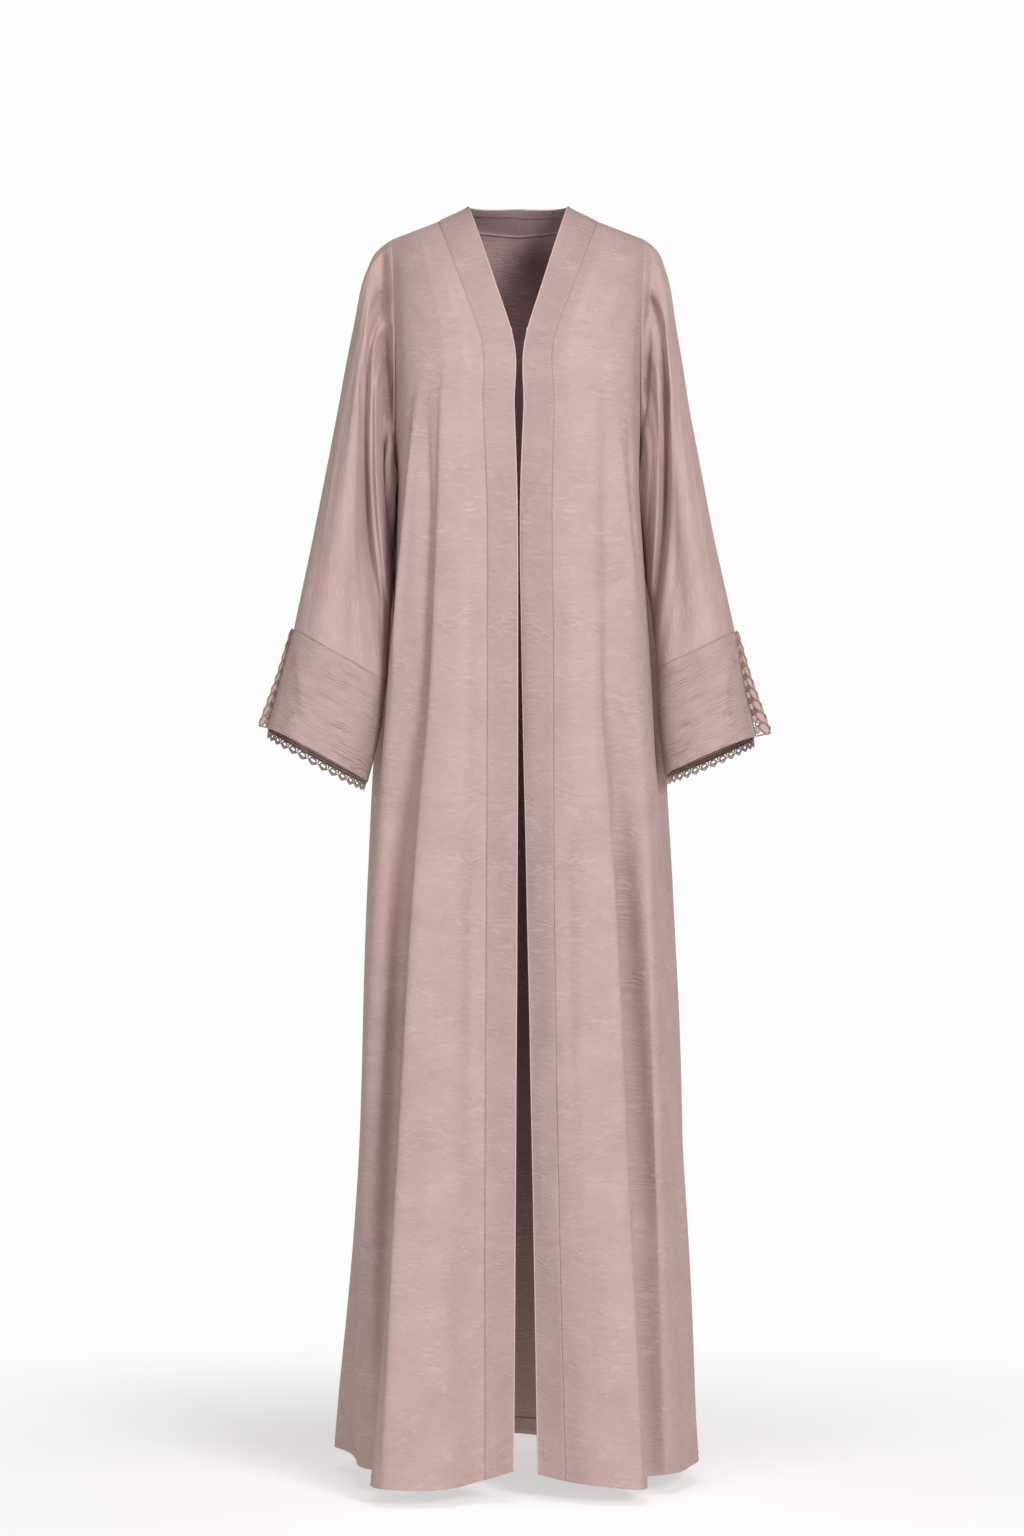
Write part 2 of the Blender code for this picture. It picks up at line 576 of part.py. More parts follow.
def side_lace(side, word, material):
    """The wedge of lace that stands out from the cuff's outer line, wider towards the hem."""
    widths = SIDE_LACE_WIDTH[side]

    def drop(at):
        return float(through([0, 0.5, 1], np.array(widths), [at])[0])

    along, down, keep = lace_grid(SIDE_LACE_REPEATS, drop, SIDE_LACE_SCALLOP)
    line = cuff_surface(side, np.array([0.0, 180.0]), along)[0]
    out = np.array([side * 0.97, 0.10, 0.22])
    start = line + unit(out) * 2 * SEAM_GAP
    grid = start[:, None] + unit(out) * down[..., None]
    half = np.array([0, LACE / 2, 0])
    return wall(f"lace_side_{word}", grid - half, grid + half, material, keep)


def hem_lace(side, word, material):
    """The scalloped strip that hangs from the back half of the cuff's hem."""
    drop = HEM_LACE_DROP
    along, down, keep = lace_grid(HEM_LACE_REPEATS, lambda at: drop, HEM_LACE_SCALLOP)
    degrees = 356 - 172 * along
    hem = cuff_surface(side, np.array([*degrees, *(degrees - 180)]), np.array([0.9, 1.0]))[: len(along)]
    run = unit(hem[:, 1] - hem[:, 0])
    away = unit(np.cross(np.gradient(hem[:, 1], axis=0), run)) * -side
    grid = (hem[:, 1] - away * CLOTH / 2)[:, None] + run[:, None] * (down + 2 * SEAM_GAP)[..., None]
    half = away[:, None] * LACE / 2
    return wall(f"lace_hem_{word}", grid + half, grid - half, material, keep)


# ---------------------------------------------------------------------------------------------------------
# The garment
# ---------------------------------------------------------------------------------------------------------
for old in list(bpy.data.objects):
    bpy.data.objects.remove(old)
crepe = cloth("dusty rose crepe", (0.52, 0.36, 0.34))
trim = cloth("dusty rose lace", (0.56, 0.42, 0.39))

heights = panel_rows()
back = back_sheet()
back_across = spread(BACK_COLUMNS + BACK_COLUMNS[::-1])
centre = (len(back.lines) - 1) / 2
back_points, back_normals = back.at(back_across, heights), -back.normals(back_across, heights)
for side, word in SIDES:
    front = front_sheet(side)
    across = spread(FRONT_COLUMNS)
    points, normals = front.at(across, heights), front.normals(across, heights)
    normals *= side
    normals[across >= 1, -1] = shoulder_normal(side)
    panel = across >= 1
    panel_walls(f"front_{word}", PANEL_SPLITS, points[panel], normals[panel], crepe, "first", "last")

    reach = (back_across >= BAND_CORNER) & (back_across <= centre)
    if side == LEFT:
        reach = (back_across >= centre) & (back_across <= 2 * centre - BAND_CORNER)
    order = slice(None) if side == RIGHT else slice(None, None, -1)
    behind, turned = band_behind_neck(side, back, back_across[reach][order])
    back_normals[np.flatnonzero(reach)[order], -1] = turned
    on_shoulder = back_across < BAND_CORNER if side == RIGHT else back_across > 2 * centre - BAND_CORNER
    back_normals[on_shoulder, -1] = shoulder_normal(side)

    strip = across <= 1
    shares = across[strip][:, None, None]
    rest = behind[0][None, 1:] * (1 - shares) + behind[1][None, 1:] * shares
    band_points = np.concatenate([points[strip], rest], axis=1)
    band_normals = np.concatenate([normals[strip], np.repeat(turned[None, 1:], strip.sum(), axis=0)], axis=1)
    panel_walls(f"band_{word}", BAND_SPLITS, band_points, band_normals, crepe, "last")
panel_walls("back", PANEL_SPLITS, back_points, back_normals, crepe, "first", "last")

for side, word in SIDES:
    steps = np.array(SLEEVE_STEPS)
    outer = sleeve_surface(side, RING_DEGREES, steps)
    inner = outer - tube_normals(sleeve_surface, side, RING_DEGREES, steps) * CLOTH
    wall(f"sleeve_{word}", drawn_in(outer, "top"), drawn_in(inner, "top"), crepe, closed=True)

    steps = np.array(CUFF_STEPS)
    outer = cuff_surface(side, RING_DEGREES, steps)
    inner = outer - tube_normals(cuff_surface, side, RING_DEGREES, steps) * CLOTH
    half = len(RING_DEGREES) // 2
    for place, first in (("front", 0), ("back", half)):
        shells = [drawn_in(np.roll(shell, -first, axis=0)[: half + 1], "first", "last", "bottom") for shell in (outer, inner)]
        wall(f"cuff_{place}_{word}", *shells, crepe)
    side_lace(side, word, trim)
    hem_lace(side, word, trim)
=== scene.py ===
"""Open-front abaya cloak in dusty-rose crinkle crepe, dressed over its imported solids: two fronts and a back,
the neck and front band, wide sleeves, deep cuffs trimmed with lace, and the sewing that shows.

Metres, +Z up, the front faces -Y, and the origin is the middle of the neck opening between the shoulders.
"""

import math

import bmesh
import bpy
import numpy as np
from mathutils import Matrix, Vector


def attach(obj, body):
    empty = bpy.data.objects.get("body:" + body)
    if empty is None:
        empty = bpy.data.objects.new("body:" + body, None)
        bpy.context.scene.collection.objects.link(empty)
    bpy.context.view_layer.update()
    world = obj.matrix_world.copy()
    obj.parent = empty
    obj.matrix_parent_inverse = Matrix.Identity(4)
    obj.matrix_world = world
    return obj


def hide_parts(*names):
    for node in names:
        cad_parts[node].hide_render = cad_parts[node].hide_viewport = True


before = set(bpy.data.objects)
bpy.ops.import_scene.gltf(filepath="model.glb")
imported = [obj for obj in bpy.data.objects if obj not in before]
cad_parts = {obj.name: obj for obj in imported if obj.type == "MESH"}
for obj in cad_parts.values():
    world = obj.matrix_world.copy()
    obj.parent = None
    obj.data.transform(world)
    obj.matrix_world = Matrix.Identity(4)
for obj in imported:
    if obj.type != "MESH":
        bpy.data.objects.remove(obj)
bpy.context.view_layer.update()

# ---------------------------------------------------------------------------------------------------------
# The body: two fronts and a back
#
# Three flared panels of crinkle crepe, one layer thick, seamed at the shoulders and sides and left open
# down the front. Each hangs in long folds from the bust and shoulder blades, and its hem is turned up and
# stitched.
# ---------------------------------------------------------------------------------------------------------
HEM_TURN_UP = 0.020         # depth of the hem turned up inside
HEM_STITCH_UP = 0.009       # height of its stitching above the edge
FOLDED_EDGE = 0.0007        # radius of a turned edge
SEAM_GAP = 0.00015          # between two pieces that are sewn together
SEAM_SINK = 0.0003          # how far a seam draws the cloth in
SEAM_WIDTH = 0.0022         # how far from the seam that reaches
SEAM_LIP = 0.003            # cloth turned in along a seam
HEM_Z = -1.537              # hem below the shoulder points
KNEE_Z = -1.200
HIP_Z = -0.800
ELBOW_Z = -0.550
UNDERARM_Z = -0.346
CHEST_Z = -0.165

SHOULDER_TIP = (0.1540, 0.000, -0.0400)         # top of the armhole
BAND_AT_SHOULDER = (0.0990, 0.000, -0.0190)     # where the band's seam crosses the shoulder seam
NECK_POINT = (0.0620, 0.002, 0.0000)            # inner edge of the band on the shoulder
BACK_NECK = (0.0, 0.068, 0.0040)                # inner edge of the band at the centre back
BAND_AT_BACK = (0.0, 0.096, -0.0260)            # band seam at the centre back
BACK_NECK_LEAN = 0.9                            # rise over run of the cloth as it meets the band there
ARMHOLE_FRONT_DEPTH = 0.064
ARMHOLE_BACK_DEPTH = 0.066
ARMHOLE_WIDTH = 0.1490                          # half the body's width between the armholes

RIGHT, LEFT = -1, 1         # the wearer's right is at -X
SIDES = ((RIGHT, "right"), (LEFT, "left"))

# Share of a panel's length, from the hem up, of each height below the shoulder, and of the point of the
# armhole halfway from the underarm to the chest.
HEM_V, KNEE_V, HIP_V, ELBOW_V, UNDERARM_V, ARMHOLE_V, CHEST_V = 0.0, 0.217, 0.475, 0.637, 0.768, 0.826, 0.885
CROWN_STEPS = 4             # stations from the chest up to the shoulder seam

# Fold lines of each front, from the front edge round to the side seam: distance out from the centre (x) and
# depth (y) at the hem, knee, hip and elbow, then at the underarm and the chest, how much the hem is lifted
# there, and how far along the shoulder seam the line ends.
FRONT_LINES = {
    RIGHT: (
        ("front edge",  .006, -.207,  .004, -.186, .0018, -.164, .0012,  -.154,
                       .0024, -.143, .0083,   -.12,  .015, None),
        ("band seam",  .0393, -.202, .0397, -.179, .0378, -.157, .0371,  -.148,
                        .038, -.141, .0462,  -.127,  .004,    0),
        ("mid panel",  .0935, -.238,  .086, -.205,  .074, -.176,  .066,   -.16,
                        .064, -.148,  .064,  -.133, -.003,  .18),
        ("main fold",   .169, -.228,  .142, -.198,  .119, -.168,  .098,  -.152,
                        .092, -.142,  .083,  -.129, -.002,  .34),
        ("inlet",       .166, -.112,   .15, -.104,  .133,  -.11,  .115,  -.128,
                        .107, -.131,  .101, -.1215,  .001,  .47),
        ("side crest",  .188, -.086,  .176, -.094,  .161, -.104,  .148,  -.112,
                        .128,  -.12,  .117,  -.111,  .002,  .61),
        ("arm fold",      .2, -.018,  .185,  -.04,  .172,  -.06,  .154,  -.066,
                         .14, -.088,  .138,  -.092,  .004,   .8),
        ("side seam",   .208,  .029,   .19,  .006,  .177, -.008,  .155,  -.006,
                        .149,     0,  .149,  -.064,  .004,    1),
    ),
    LEFT: (
        ("front edge", .0239, -.176, .0184, -.162, .0102, -.147, .0048,  -.141,
                       .0036, -.136,  .011,  -.118,  .007, None),
        ("band seam",  .0559, -.192,  .048, -.176, .0424,  -.16, .0419,  -.152,
                       .0407, -.144, .0448,  -.128,  .001,    0),
        ("mid panel",   .089, -.214,   .08, -.189,  .072, -.168,  .066,  -.158,
                        .064, -.147,  .064,  -.133, -.001,  .18),
        ("main fold",   .148, -.212,  .129, -.184,  .109,  -.16,  .093, -.1515,
                         .09, -.142,  .083,  -.129, -.006,  .34),
        ("inlet",       .156, -.136,  .139, -.126,  .122, -.122,  .112,   -.14,
                        .107, -.134,  .101, -.1215, -.003,  .47),
        ("side crest",  .178, -.132,  .168, -.126,  .155, -.121,  .142,  -.127,
                        .133, -.118,  .117,  -.111,     0,  .61),
        ("arm fold",     .19, -.118,   .18, -.104,  .169, -.086,  .158,  -.086,
                        .144, -.088,  .138,  -.092,     0,   .8),
        ("side seam",   .198, -.104,  .187, -.072,  .177, -.036,   .16,  -.016,
                        .149,     0,  .149,  -.064,     0,    1),
    ),
}

# Fold lines of each half of the back, from the side seam round to the centre, in the same columns. The last
# column is how far along its top edge the line ends: 0 at the shoulder tip, 1 at the centre back.
BACK_LINES = {
    RIGHT: (
        ("side crest",    .2275, .078, .199, .052, .184, .036, .169, .042,
                          .1515, .051, .143,  .08, .005, .14),
        ("side hollow",    .198, .122,  .18, .104, .164,  .09,  .15, .086,
                           .143, .085, .134, .096, .002, .28),
        ("shoulder fold",  .174, .186, .156, .158, .138, .132, .125, .118,
                           .118, .106, .112, .105,    0,  .4),
        ("blade hollow",   .129, .184, .119, .156, .106, .132, .098,  .12,
                           .093, .112, .088,  .11,    0, .53),
        ("blade fold",     .089, .234, .082, .192, .074, .155, .068, .136,
                           .064,  .12,  .06, .112,    0, .68),
        ("spine hollow",   .043, .209,  .04, .177, .036, .146, .034,  .13,
                           .032, .118,  .03, .111,    0, .84),
        ("centre fold",       0,  .24,    0, .197,    0,  .16,    0,  .14,
                              0, .122,    0,  .11,    0,   1),
    ),
    LEFT: (
        ("side crest",    .2195, -.03, .205, -.01, .189, .012, .174, .036,
                          .1515, .051, .143,  .08, .002, .14),
        ("side hollow",    .209, .076, .191, .074, .171, .078, .151, .084,
                           .143, .085, .134, .096, .001, .28),
        ("shoulder fold",  .182,  .17, .161, .148,  .14, .128, .125, .117,
                           .118, .106, .112, .105,    0,  .4),
        ("blade hollow",   .135, .176, .122, .153, .108, .131, .098,  .12,
                           .093, .112, .088,  .11,    0, .53),
        ("blade fold",     .093, .229, .084,  .19, .074, .155, .068, .136,
                           .064,  .12,  .06, .112,    0, .68),
        ("spine hollow",   .047, .207, .042, .176, .036, .146, .034,  .13,
                           .032, .118,  .03, .111,    0, .84),
        ("centre fold",       0,  .24,    0, .197,    0,  .16,    0,  .14,
                              0, .122,    0,  .11,    0,   1),
    ),
}
BAND_CORNER = 3             # the line of the back that ends where the band's seam crosses the shoulder seam


def through(knots, points, at, corners=()):
    """A cubic through the points at the knots, read at the values in at. Its slope at a knot blends those
    of the two chords beside it, and at a corner each side keeps the slope of its own chord."""
    knots, points, at = np.asarray(knots, float), np.asarray(points, float), np.asarray(at, float)
    flat = [1] * (points.ndim - 1)
    step = np.diff(knots)
    chord = np.diff(points, axis=0) / step.reshape(-1, *flat)
    before, after = np.concatenate([chord[:1], chord]), np.concatenate([chord, chord[-1:]])
    left, right = np.concatenate([step[:1], step]), np.concatenate([step, step[-1:]])
    share = (left / (left + right)).reshape(-1, *flat)
    arrive = before * (1 - share) + after * share
    leave = arrive.copy()
    for k in corners:
        arrive[k], leave[k] = before[k], after[k]
    k = np.clip(np.searchsorted(knots, at, side="right") - 1, 0, len(knots) - 2)
    wide = step[k].reshape(-1, *flat)
    t = ((at - knots[k]) / step[k]).reshape(-1, *flat)
    return (
        points[k] * (2 * t**3 - 3 * t**2 + 1)
        + leave[k] * wide * (t**3 - 2 * t**2 + t)
        + points[k + 1] * (3 * t**2 - 2 * t**3)
        + arrive[k + 1] * wide * (t**3 - t**2)
    )


def unit(vectors):
    """Each vector over its own length."""
    return vectors / np.maximum(np.linalg.norm(vectors, axis=-1, keepdims=True), 1e-12)


def mirrored(point, side):
    """A point given for the left side, on the side asked for: its x times -1 or 1."""
    return np.array([side * point[0], point[1], point[2]])


def crown(low, high, lean=0.0):
    """Stations on a quarter of an oval that leaves low upright and comes to high at the given rise over
    run. Its distance from the centre changes evenly with its height."""
    low, high = np.asarray(low, float), np.asarray(high, float)
    corner = np.array([0, low[1], high[2] - lean * abs(high[1] - low[1])])
    corner[0] = low[0] + (high[0] - low[0]) * (corner[2] - low[2]) / (high[2] - low[2])
    t = np.arange(1, CROWN_STEPS + 1)[:, None] / CROWN_STEPS
    weights = (1 - t) ** 2, math.sqrt(2) * t * (1 - t), t**2
    return (weights[0] * low + weights[1] * corner + weights[2] * high) / sum(weights)


STATION_V = [HEM_V, KNEE_V, HIP_V, ELBOW_V, UNDERARM_V, ARMHOLE_V, CHEST_V]
STATION_V += [CHEST_V + (1 - CHEST_V) * k / CROWN_STEPS for k in range(1, CROWN_STEPS + 1)]
UNDERARM, CHEST = 4, 6      # stations


def shoulder_seam(side, share):
    """A point of the shoulder seam, from the band seam (0) to the shoulder tip (1)."""
    a, b = np.array(BAND_AT_SHOULDER), np.array(SHOULDER_TIP)
    return mirrored(a + (b - a) * share, side)


def round_neck(side, share, shoulder, centre):
    """A point of a quarter oval round the back of the neck, from the shoulder (0) to the centre back (1)."""
    turn = math.radians(90 * share)
    x = shoulder[0] * math.cos(turn)
    y = shoulder[1] + (centre[1] - shoulder[1]) * math.sin(turn)
    z = shoulder[2] + (centre[2] - shoulder[2]) * (1 - math.cos(turn))
    return mirrored((x, y, z), side)


def back_top(side, share):
    """A point of the back's top edge and the cloth's lean there: the shoulder seam from its tip, then the
    band seam to the centre."""
    turn = BACK_LINES[side][BAND_CORNER - 1][-1]
    if share <= turn:
        return shoulder_seam(side, 1 - share / turn), 0.0
    share = (share - turn) / (1 - turn)
    lean = BACK_NECK_LEAN * math.sin(math.radians(90 * share))
    return round_neck(side, share, BAND_AT_SHOULDER, BAND_AT_BACK), lean


def fold_line(side, row, top, lean=0.0):
    """The stations of one fold line, hem first: those of its row in the table, one halfway from the
    underarm to the chest, and the crown from the chest up to its top."""
    heights = HEM_Z + row[13], KNEE_Z, HIP_Z, ELBOW_Z, UNDERARM_Z, CHEST_Z
    made = [np.array([side * row[2 * k + 1], row[2 * k + 2], z]) for k, z in enumerate(heights)]
    made.insert(UNDERARM + 1, (made[UNDERARM] + made[UNDERARM + 1]) / 2)
    return np.array([*made, *crown(made[-1], top, lean)])


def armhole_line(side, facing):
    """The stations of the line that is the side seam below the underarm and the armhole above it. Facing is
    -1 for the front half of the armhole and 1 for the back half."""
    line = fold_line(side, FRONT_LINES[side][-1], mirrored(SHOULDER_TIP, side))
    depth = ARMHOLE_FRONT_DEPTH if facing < 0 else ARMHOLE_BACK_DEPTH
    low_z = CHEST_Z + (UNDERARM_Z - CHEST_Z) * math.sqrt(0.5)
    line[UNDERARM + 1] = [side * ARMHOLE_WIDTH, facing * depth * math.sqrt(0.5), low_z]
    line[CHEST] = [side * ARMHOLE_WIDTH, facing * depth, CHEST_Z]
    line[CHEST + 1 :] = crown(line[CHEST], mirrored(SHOULDER_TIP, side))
    return line


def read_line(line, v, corner=False):
    """Points of a fold line at shares of the panel's length, by the cubic through its stations. A line with
    a corner breaks its slope at the underarm."""
    return through(STATION_V, line, v, corners=(UNDERARM,) if corner else ())


class Sheet:
    """A surface through fold lines, with a guide line beyond a side seam so that the cloth runs on
    smoothly. A place across it is counted in lines: 2.5 is halfway from line 2 to line 3. Tops gives the
    point of the top seam at a place, and from the chest up the cloth is eased so that it ends on that
    seam."""

    def __init__(self, lines, seams, tops, before=None, after=None):
        self.lines, self.seams, self.extra = lines, seams, 0 if before is None else 1
        self.tops = tops
        self.all = [line for line in (before, *lines, after) if line is not None]
        steps = [np.linalg.norm((b - a)[:UNDERARM], axis=1).mean() for a, b in zip(self.all, self.all[1:])]
        self.knots = np.concatenate([[0], np.cumsum(steps)])

    def at(self, across, v):
        """Points on the grid of the two lists, as an array (across, v, 3)."""
        curves = [read_line(line, v, k - self.extra in self.seams) for k, line in enumerate(self.all)]
        place = np.interp(np.asarray(across) + self.extra, range(len(self.all)), self.knots)
        points = through(self.knots, curves, place)
        ends = np.array([line[-1] for line in self.all])
        miss = np.array([self.tops(p) for p in across]) - through(self.knots, ends, place)
        ease = np.clip((np.asarray(v) - CHEST_V) / (1 - CHEST_V), 0, 1) ** 2
        return points + miss[:, None] * ease[:, None]


def beyond_seam(side, row, top, seam, inside):
    """A guide line past a side seam: a fold line of the next panel up to the underarm, and above it a line
    that carries on the slope of this panel."""
    line = fold_line(side, row, top)
    line[UNDERARM + 1 :] = (2 * seam - inside)[UNDERARM + 1 :]
    return line


def front_sheet(side):
    """The sheet from the front edge to the side seam. Its top runs straight from the neck to the band seam,
    then along the shoulder seam."""
    rows = FRONT_LINES[side]
    edge = fold_line(side, rows[0], mirrored(NECK_POINT, side))
    lines = [edge, *[fold_line(side, row, shoulder_seam(side, row[-1])) for row in rows[1:-1]]]
    seam = armhole_line(side, -1)
    row = BACK_LINES[side][0]
    after = beyond_seam(side, row, back_top(side, row[-1])[0], seam, lines[-1])
    shares = [row[-1] for row in rows[1:]]

    def tops(place):
        if place < 1:
            return lines[0][-1] * (1 - place) + lines[1][-1] * place
        return shoulder_seam(side, np.interp(place, range(1, len(rows)), shares))

    return Sheet([*lines, seam], seams={len(lines)}, tops=tops, after=after)


def back_sheet():
    """The sheet from the right side seam round the back to the left one: the right half's fold lines, then
    the left half's from the centre out."""
    halves, guides = {}, {}
    for side, _ in SIDES:
        seam = armhole_line(side, 1)
        halves[side] = [seam, *[fold_line(side, row, *back_top(side, row[-1])) for row in BACK_LINES[side]]]
        row = FRONT_LINES[side][-2]
        guides[side] = beyond_seam(side, row, shoulder_seam(side, row[-1]), seam, halves[side][1])
    lines = halves[RIGHT] + halves[LEFT][-2::-1]
    shares = [0.0, *[row[-1] for row in BACK_LINES[RIGHT]]]
    middle = len(shares) - 1

    def tops(place):
        side = RIGHT if place <= middle else LEFT
        return back_top(side, np.interp(middle - abs(place - middle), range(len(shares)), shares))[0]

    return Sheet(lines, seams={0, len(lines) - 1}, tops=tops, before=guides[RIGHT], after=guides[LEFT])


def grid_normals(points):
    """Unit normals of a grid of points: the cross product of its steps across and along."""
    return unit(np.cross(np.gradient(points, axis=0), np.gradient(points, axis=1)))


def run_along(points):
    """The mean run of the cloth from the first row of a grid to each of its rows."""
    steps = np.linalg.norm(np.diff(points, axis=1), axis=-1).mean(axis=0)
    return np.concatenate([[0.0], np.cumsum(steps)])


def flat_map(points, origin=0):
    """Where each point lies on the cloth laid flat, (across, along, 2): the run of the cloth across from the
    column called origin, and the mean run up from its first row."""
    across = np.linalg.norm(np.diff(points, axis=0), axis=-1)
    across = np.concatenate([np.zeros_like(points[:1, :, 0]), np.cumsum(across, axis=0)])
    return np.stack([across - across[origin], np.broadcast_to(run_along(points), across.shape)], axis=-1)


def creases(flat, table):
    """How far soft creases stand out at each place of a sheet. Each row of the table runs from one place to
    another on the flat cloth, bowed sideways halfway. Its height falls off as a bell curve, with one half
    width towards the start of the sheet and another towards its end, and as a smooth step towards its two
    ends."""
    out = np.zeros(flat.shape[:2])
    for _, across, up, to_across, to_up, height, near_width, far_width, bow in table:
        run = np.array([to_across - across, to_up - up])
        length = math.hypot(*run)
        away = flat - (across, up)
        share = (away @ run) / length**2
        aside = (away[..., 0] * run[1] - away[..., 1] * run[0]) / length - bow * 4 * share * (1 - share)
        half_width = np.where(aside < 0, near_width, far_width)
        fade = np.clip(np.minimum(share, 1 - share) / 0.35, 0, 1)
        out += height * np.exp(-((aside / half_width) ** 2)) * fade**2 * (3 - 2 * fade)
    return out


def ripples(flat, seed, height, across, along, count=14):
    """Uneven hand of the cloth: a sum of sines whose lengths across and along, directions and starts are
    drawn from seeded numbers about the two lengths given."""
    draw = np.random.default_rng(seed)
    out = np.zeros(flat.shape[:2])
    for _ in range(count):
        u = flat[..., 0] / (across * draw.uniform(0.6, 1.7))
        v = flat[..., 1] / (along * draw.uniform(0.6, 1.7))
        out += np.sin(2 * math.pi * (u + draw.choice([-1, 1]) * v + draw.uniform(0, 1)))
    return out * height / math.sqrt(count)


def sunk(away):
    """How far the cloth is drawn in at this distance from a seam: a bell curve."""
    return -SEAM_SINK * np.exp(-((away / SEAM_WIDTH) ** 2))


def turned_edge(points, normals, depth, reach):
    """Rows for an edge turned under, last to be joined to the sheet's first row: half a circle round the
    edge, then up the inside of the sheet to the depth given. Reach is the sheet's distance from the edge at
    each row."""
    down = unit(points[:, 0] - points[:, 1])
    bend = np.radians([180, 144, 108, 72, 36])[None, :, None]
    curl = points[:, :1] + FOLDED_EDGE * (
        down[:, None] * np.sin(bend) - normals[:, :1] * (1 - np.cos(bend))
    )
    inside = np.flatnonzero((reach > 0) & (reach <= depth))[::-1]
    under = points[:, inside] - normals[:, inside] * 2 * FOLDED_EDGE
    return np.concatenate([under, curl], axis=1)


def cloth_mesh(name, points, flat, material, outward, closed=False):
    """A smooth mesh over a grid of points, (across, along, 3), with the flat cloth in metres as its UV map.
    Outward is 1 or -1, as the grid's own normals point out or in. A closed sheet joins its last row to its
    first."""
    n, m = points.shape[:2]
    index = np.arange(n * m).reshape(n, m)
    if closed:
        index[-1] = index[0]
    corners = np.stack([index[:-1, :-1], index[1:, :-1], index[1:, 1:], index[:-1, 1:]], -1)
    places = np.stack([flat[:-1, :-1], flat[1:, :-1], flat[1:, 1:], flat[:-1, 1:]], 2)
    if outward < 0:
        corners, places = corners[..., ::-1], places[:, :, ::-1]
    if closed:
        points = points[:-1]
    return grid_mesh(name, points.reshape(-1, 3), corners.reshape(-1, 4), places.reshape(-1, 2), material)


def grid_mesh(name, points, corners, places, material):
    """A smooth mesh of four-cornered faces, with a UV map in metres."""
    mesh = bpy.data.meshes.new(name)
    mesh.vertices.add(len(points))
    mesh.vertices.foreach_set("co", np.ascontiguousarray(points, np.float32).ravel())
    mesh.loops.add(len(corners) * 4)
    mesh.loops.foreach_set("vertex_index", np.ascontiguousarray(corners, np.int32).ravel())
    mesh.polygons.add(len(corners))
    mesh.polygons.foreach_set("loop_start", np.arange(0, len(corners) * 4, 4, dtype=np.int32))
    mesh.uv_layers.new(name="flat").uv.foreach_set("vector", np.ascontiguousarray(places, np.float32).ravel())
    mesh.update(calc_edges=True)
    mesh.materials.append(material)
    mesh.shade_smooth()
    made = bpy.data.objects.new(name, mesh)
    bpy.context.scene.collection.objects.link(made)
    return made


def set_inputs(node, inputs):
    """Gives inputs of a shader node, by name or place, a number, a colour or the socket that feeds them."""
    for key, value in inputs.items():
        if isinstance(value, bpy.types.NodeSocket):
            node.id_data.links.new(value, node.inputs[key])
        else:
            node.inputs[key].default_value = value


def add_node(tree, kind, inputs=None, **settings):
    """A new shader node with its settings made and its inputs given."""
    made = tree.nodes.new(f"ShaderNode{kind}")
    for setting, value in settings.items():
        setattr(made, setting, value)
    set_inputs(made, inputs or {})
    return made


def new_material(name):
    """A new material, its node tree and its shader."""
    made = bpy.data.materials.new(name)
    made.use_nodes = True
    return made, made.node_tree, made.node_tree.nodes["Principled BSDF"]


CREPE_ROSES = ((0.34, (0.430, 0.300, 0.283)), (0.95, (0.510, 0.368, 0.347)))    # places on the ramp, colours
STROKE_WIDTH = 0.0052
STROKE_WANDER = 0.012


